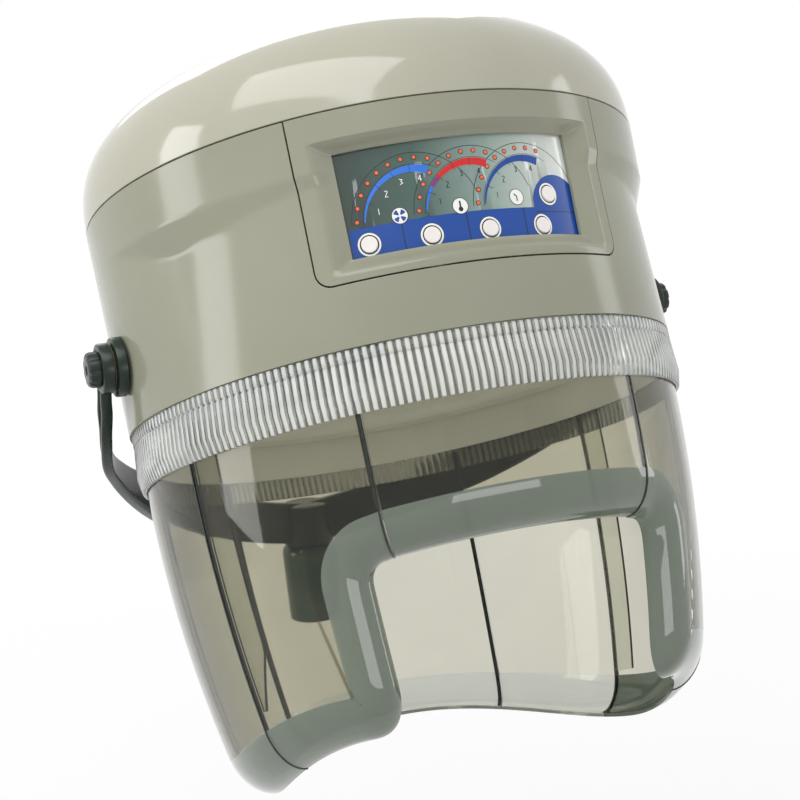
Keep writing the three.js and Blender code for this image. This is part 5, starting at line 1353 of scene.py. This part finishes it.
def make_socket():
    centre = (SOCKET_TOP_RADIUS - SOCKET_SHOULDER, SOCKET_LENGTH - SOCKET_SHOULDER)
    shoulder = [arc_point(centre, SOCKET_SHOULDER, -turn) for turn in steps(0, 90, 9)]
    profile = [
        (0, SOCKET_LENGTH + SOCKET_SPIGOT),
        (SOCKET_SPIGOT_RADIUS, SOCKET_LENGTH + SOCKET_SPIGOT),
        (SOCKET_SPIGOT_RADIUS, SOCKET_LENGTH),
        *shoulder[::-1],
        *[(SOCKET_MOUTH_RADIUS + out, up) for out, up in SOCKET_MOUTH_EDGE],
        (SOCKET_BORE_RADIUS + SOCKET_BORE_CHAMFER[0], 0),
        (SOCKET_BORE_RADIUS, SOCKET_BORE_CHAMFER[1]),
        (SOCKET_BORE_RADIUS, SOCKET_BORE_DEPTH),
        (0, SOCKET_BORE_DEPTH),
    ]
    form = Form().turned(profile, SOCKET_SEGMENTS)
    socket = form.make("socket_finish", "socket_paint", "stand_socket", body="stand", matrix=STAND)
    place = Matrix.Translation((0, SOCKET_BORE_RADIUS - 1, SCREW_HEIGHT))
    backwards = STAND @ place @ Matrix.Rotation(math.radians(-90), 4, "X")
    hole = Form().turned(rod(SCREW_BORE, 0, SOCKET_TOP_RADIUS), BORE_SEGMENTS)
    cut_away(socket, [hole.make("screw_hole", "socket_paint", body="stand", matrix=backwards)])


def make_pivots():
    low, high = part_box("right_tension_knob")
    inner, outer = low.x / MM, high.x / MM
    bore_end = (inner + outer) / 2 + BORE_FIT
    dish = outer - DISH_DEPTH
    knob_profile = [(0, bore_end), (BOLT_BORE, bore_end), (BOLT_BORE, inner), (KNOB_RADIUS, inner)]
    knob_profile += [(KNOB_RADIUS - across, outer - down) for across, down in KNOB_SHOULDER]
    knob_profile += [(KNOB_DISH_RADIUS + KNOB_DISH_SLOPE, outer)]
    knob_profile += [(KNOB_DISH_RADIUS, dish), (0, dish)]
    segments = FLUTE_SEGMENTS * KNOB_FLUTES

    def flutes(k, radius):
        depth = FLUTE_DEPTH * max(0.0, math.cos(2 * math.pi * k * KNOB_FLUTES / segments))
        return -depth if radius > FLUTE_INNER else 0

    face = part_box("right_pivot_hub")[1].x / MM
    hub_profile = [(0, face - PIVOT_HUB_LENGTH), (PIVOT_HUB_RADIUS, face - PIVOT_HUB_LENGTH)]
    hub_profile += [*rounding(PIVOT_HUB_RADIUS, face, *PIVOT_HUB_ROUND), (0, face)]
    for word, side in SIDES:
        out = sideways(side)
        name, node = f"{word}_knob", f"{word}_tension_knob"
        knob = Form().turned(knob_profile, segments, wave=flutes)
        knob.make(f"{name}_finish", "fork_paint", node, body=name, matrix=out)
        hub = Form().turned(hub_profile, HUB_SEGMENTS)
        hub.make(f"{word}_hub_finish", "fork_paint", f"{word}_pivot_hub", matrix=out)


# ---------------- CAD pieces that stay
CAD_SHARP_ANGLE = 28


def dress_cad_nodes():
    for name, node in frame["nodes"].items():
        node.data.materials.clear()
        node.data.materials.append(MATERIALS[SLOTS[name]])
        node.data.shade_smooth()
        node.data.set_sharp_from_angle(angle=math.radians(CAD_SHARP_ANGLE))


# ---------------- stage, light and camera
CAMERA_PLACE = Vector((-0.44336, -1.40569, 0.42426))
CAMERA_TARGET = Vector((-0.00191, -0.25051, 0.21894))
CAMERA_UP = Vector((0.131, 0.1247, 0.9835))
CAMERA_LENS = 80.46
SENSOR_WIDTH = 36
CAMERA_REACH = 60
FLOOR_DROP = 0.32  # the hood is held up by its pole, clear of the floor
FLOOR_GLOW = 1.04
FLOOR_FADE = (0.7, 2.4)  # distance over which the floor's own shading gives way to the glow
FLOOR_GLOW_SHARE = (0.74, 1.0)
BACKDROP_HALF = 9.0
AMBIENT = 0.4
LAMP_TARGET = Vector((0, -0.2, 0.25))
LAMPS = (  # name, place and size in metres, power in watts
    ("key_left", (-2.3, 0.05, 0.75), (0.7, 1.5), 17),
    ("top", (-0.75, -0.95, 1.95), (1.9, 1.2), 27),
    ("front_low", (0.35, -2.6, 0.35), (1.5, 0.5), 9),
    ("fill_right", (2.2, -0.6, 0.6), (0.4, 1.5), 5),
    ("rear", (0.4, 1.8, 1.4), (1.6, 1.0), 9),
)


def make_camera():
    data = bpy.data.cameras.new("camera")
    data.lens = CAMERA_LENS
    data.sensor_width = SENSOR_WIDTH
    data.clip_end = CAMERA_REACH
    camera = new_object("camera", data)
    forward = (CAMERA_TARGET - CAMERA_PLACE).normalized()
    right = forward.cross(CAMERA_UP).normalized()
    turned = Matrix((right, right.cross(forward), -forward)).transposed().to_4x4()
    camera.matrix_world = Matrix.Translation(CAMERA_PLACE) @ turned
    bpy.context.scene.camera = camera


def make_floor():
    half, level = BACKDROP_HALF, CAD_BOX[0].z - FLOOR_DROP
    corners = [(x * half, y * half, level) for x, y in ((-1, -1), (1, -1), (1, 1), (-1, 1))]
    mesh = bpy.data.meshes.new("floor")
    mesh.from_pydata(corners, [], [(0, 1, 2, 3)])
    nodes = new_material("floor_pale")
    tone = nodes.ramp(nodes.noise(2, 3), [(0.3, grey(0.9)), (0.7, grey(0.94))])
    nodes.set(Base_Color=tone, Roughness=0.9)
    away = nodes.add("ShaderNodeVectorMath", {0: nodes.position()}, operation="LENGTH")["Value"]
    fade = nodes.spread(away, *FLOOR_GLOW_SHARE, *FLOOR_FADE)
    share = nodes.math("MULTIPLY", nodes.seen_directly(), fade)
    glow = nodes.add("ShaderNodeEmission", {"Strength": FLOOR_GLOW})["Emission"]
    blend = nodes.add("ShaderNodeMixShader", {0: share, 1: nodes.shader.outputs["BSDF"], 2: glow})
    nodes.fill(nodes.tree.nodes["Material Output"], {"Surface": blend["Shader"]})
    mesh.materials.append(MATERIALS["floor_pale"])
    new_object("floor", mesh)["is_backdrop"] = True


def make_world():
    world = bpy.data.worlds.new("studio")
    bpy.context.scene.world = world
    nodes = Nodes(world)
    level = nodes.spread(nodes.seen_directly(), AMBIENT, 1.0)
    nodes.fill(nodes.tree.nodes["Background"], {"Color": (1, 1, 1, 1), "Strength": level})


def make_lights():
    for name, place, size, power in LAMPS:
        data = bpy.data.lights.new(name, "AREA")
        data.shape = "RECTANGLE"
        data.size, data.size_y = size
        data.energy = power
        light = new_object(name, data)
        light.location = place
        light.rotation_euler = (LAMP_TARGET - Vector(place)).to_track_quat("-Z", "Y").to_euler()


dress_cad_nodes()
make_cover()
make_shell()
make_bezel()
make_display()
make_display_art()
make_buttons()
make_collar()
make_shroud()
make_dome()
make_fork()
make_socket()
make_pivots()
make_camera()
make_floor()
make_world()
make_lights()

bpy.context.scene.view_settings.view_transform = "Standard"
VISUAL_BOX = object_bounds()
boxes = {"cad": CAD_BOX, "visual": VISUAL_BOX}
{name: [list(corner) for corner in box] for name, box in boxes.items()}
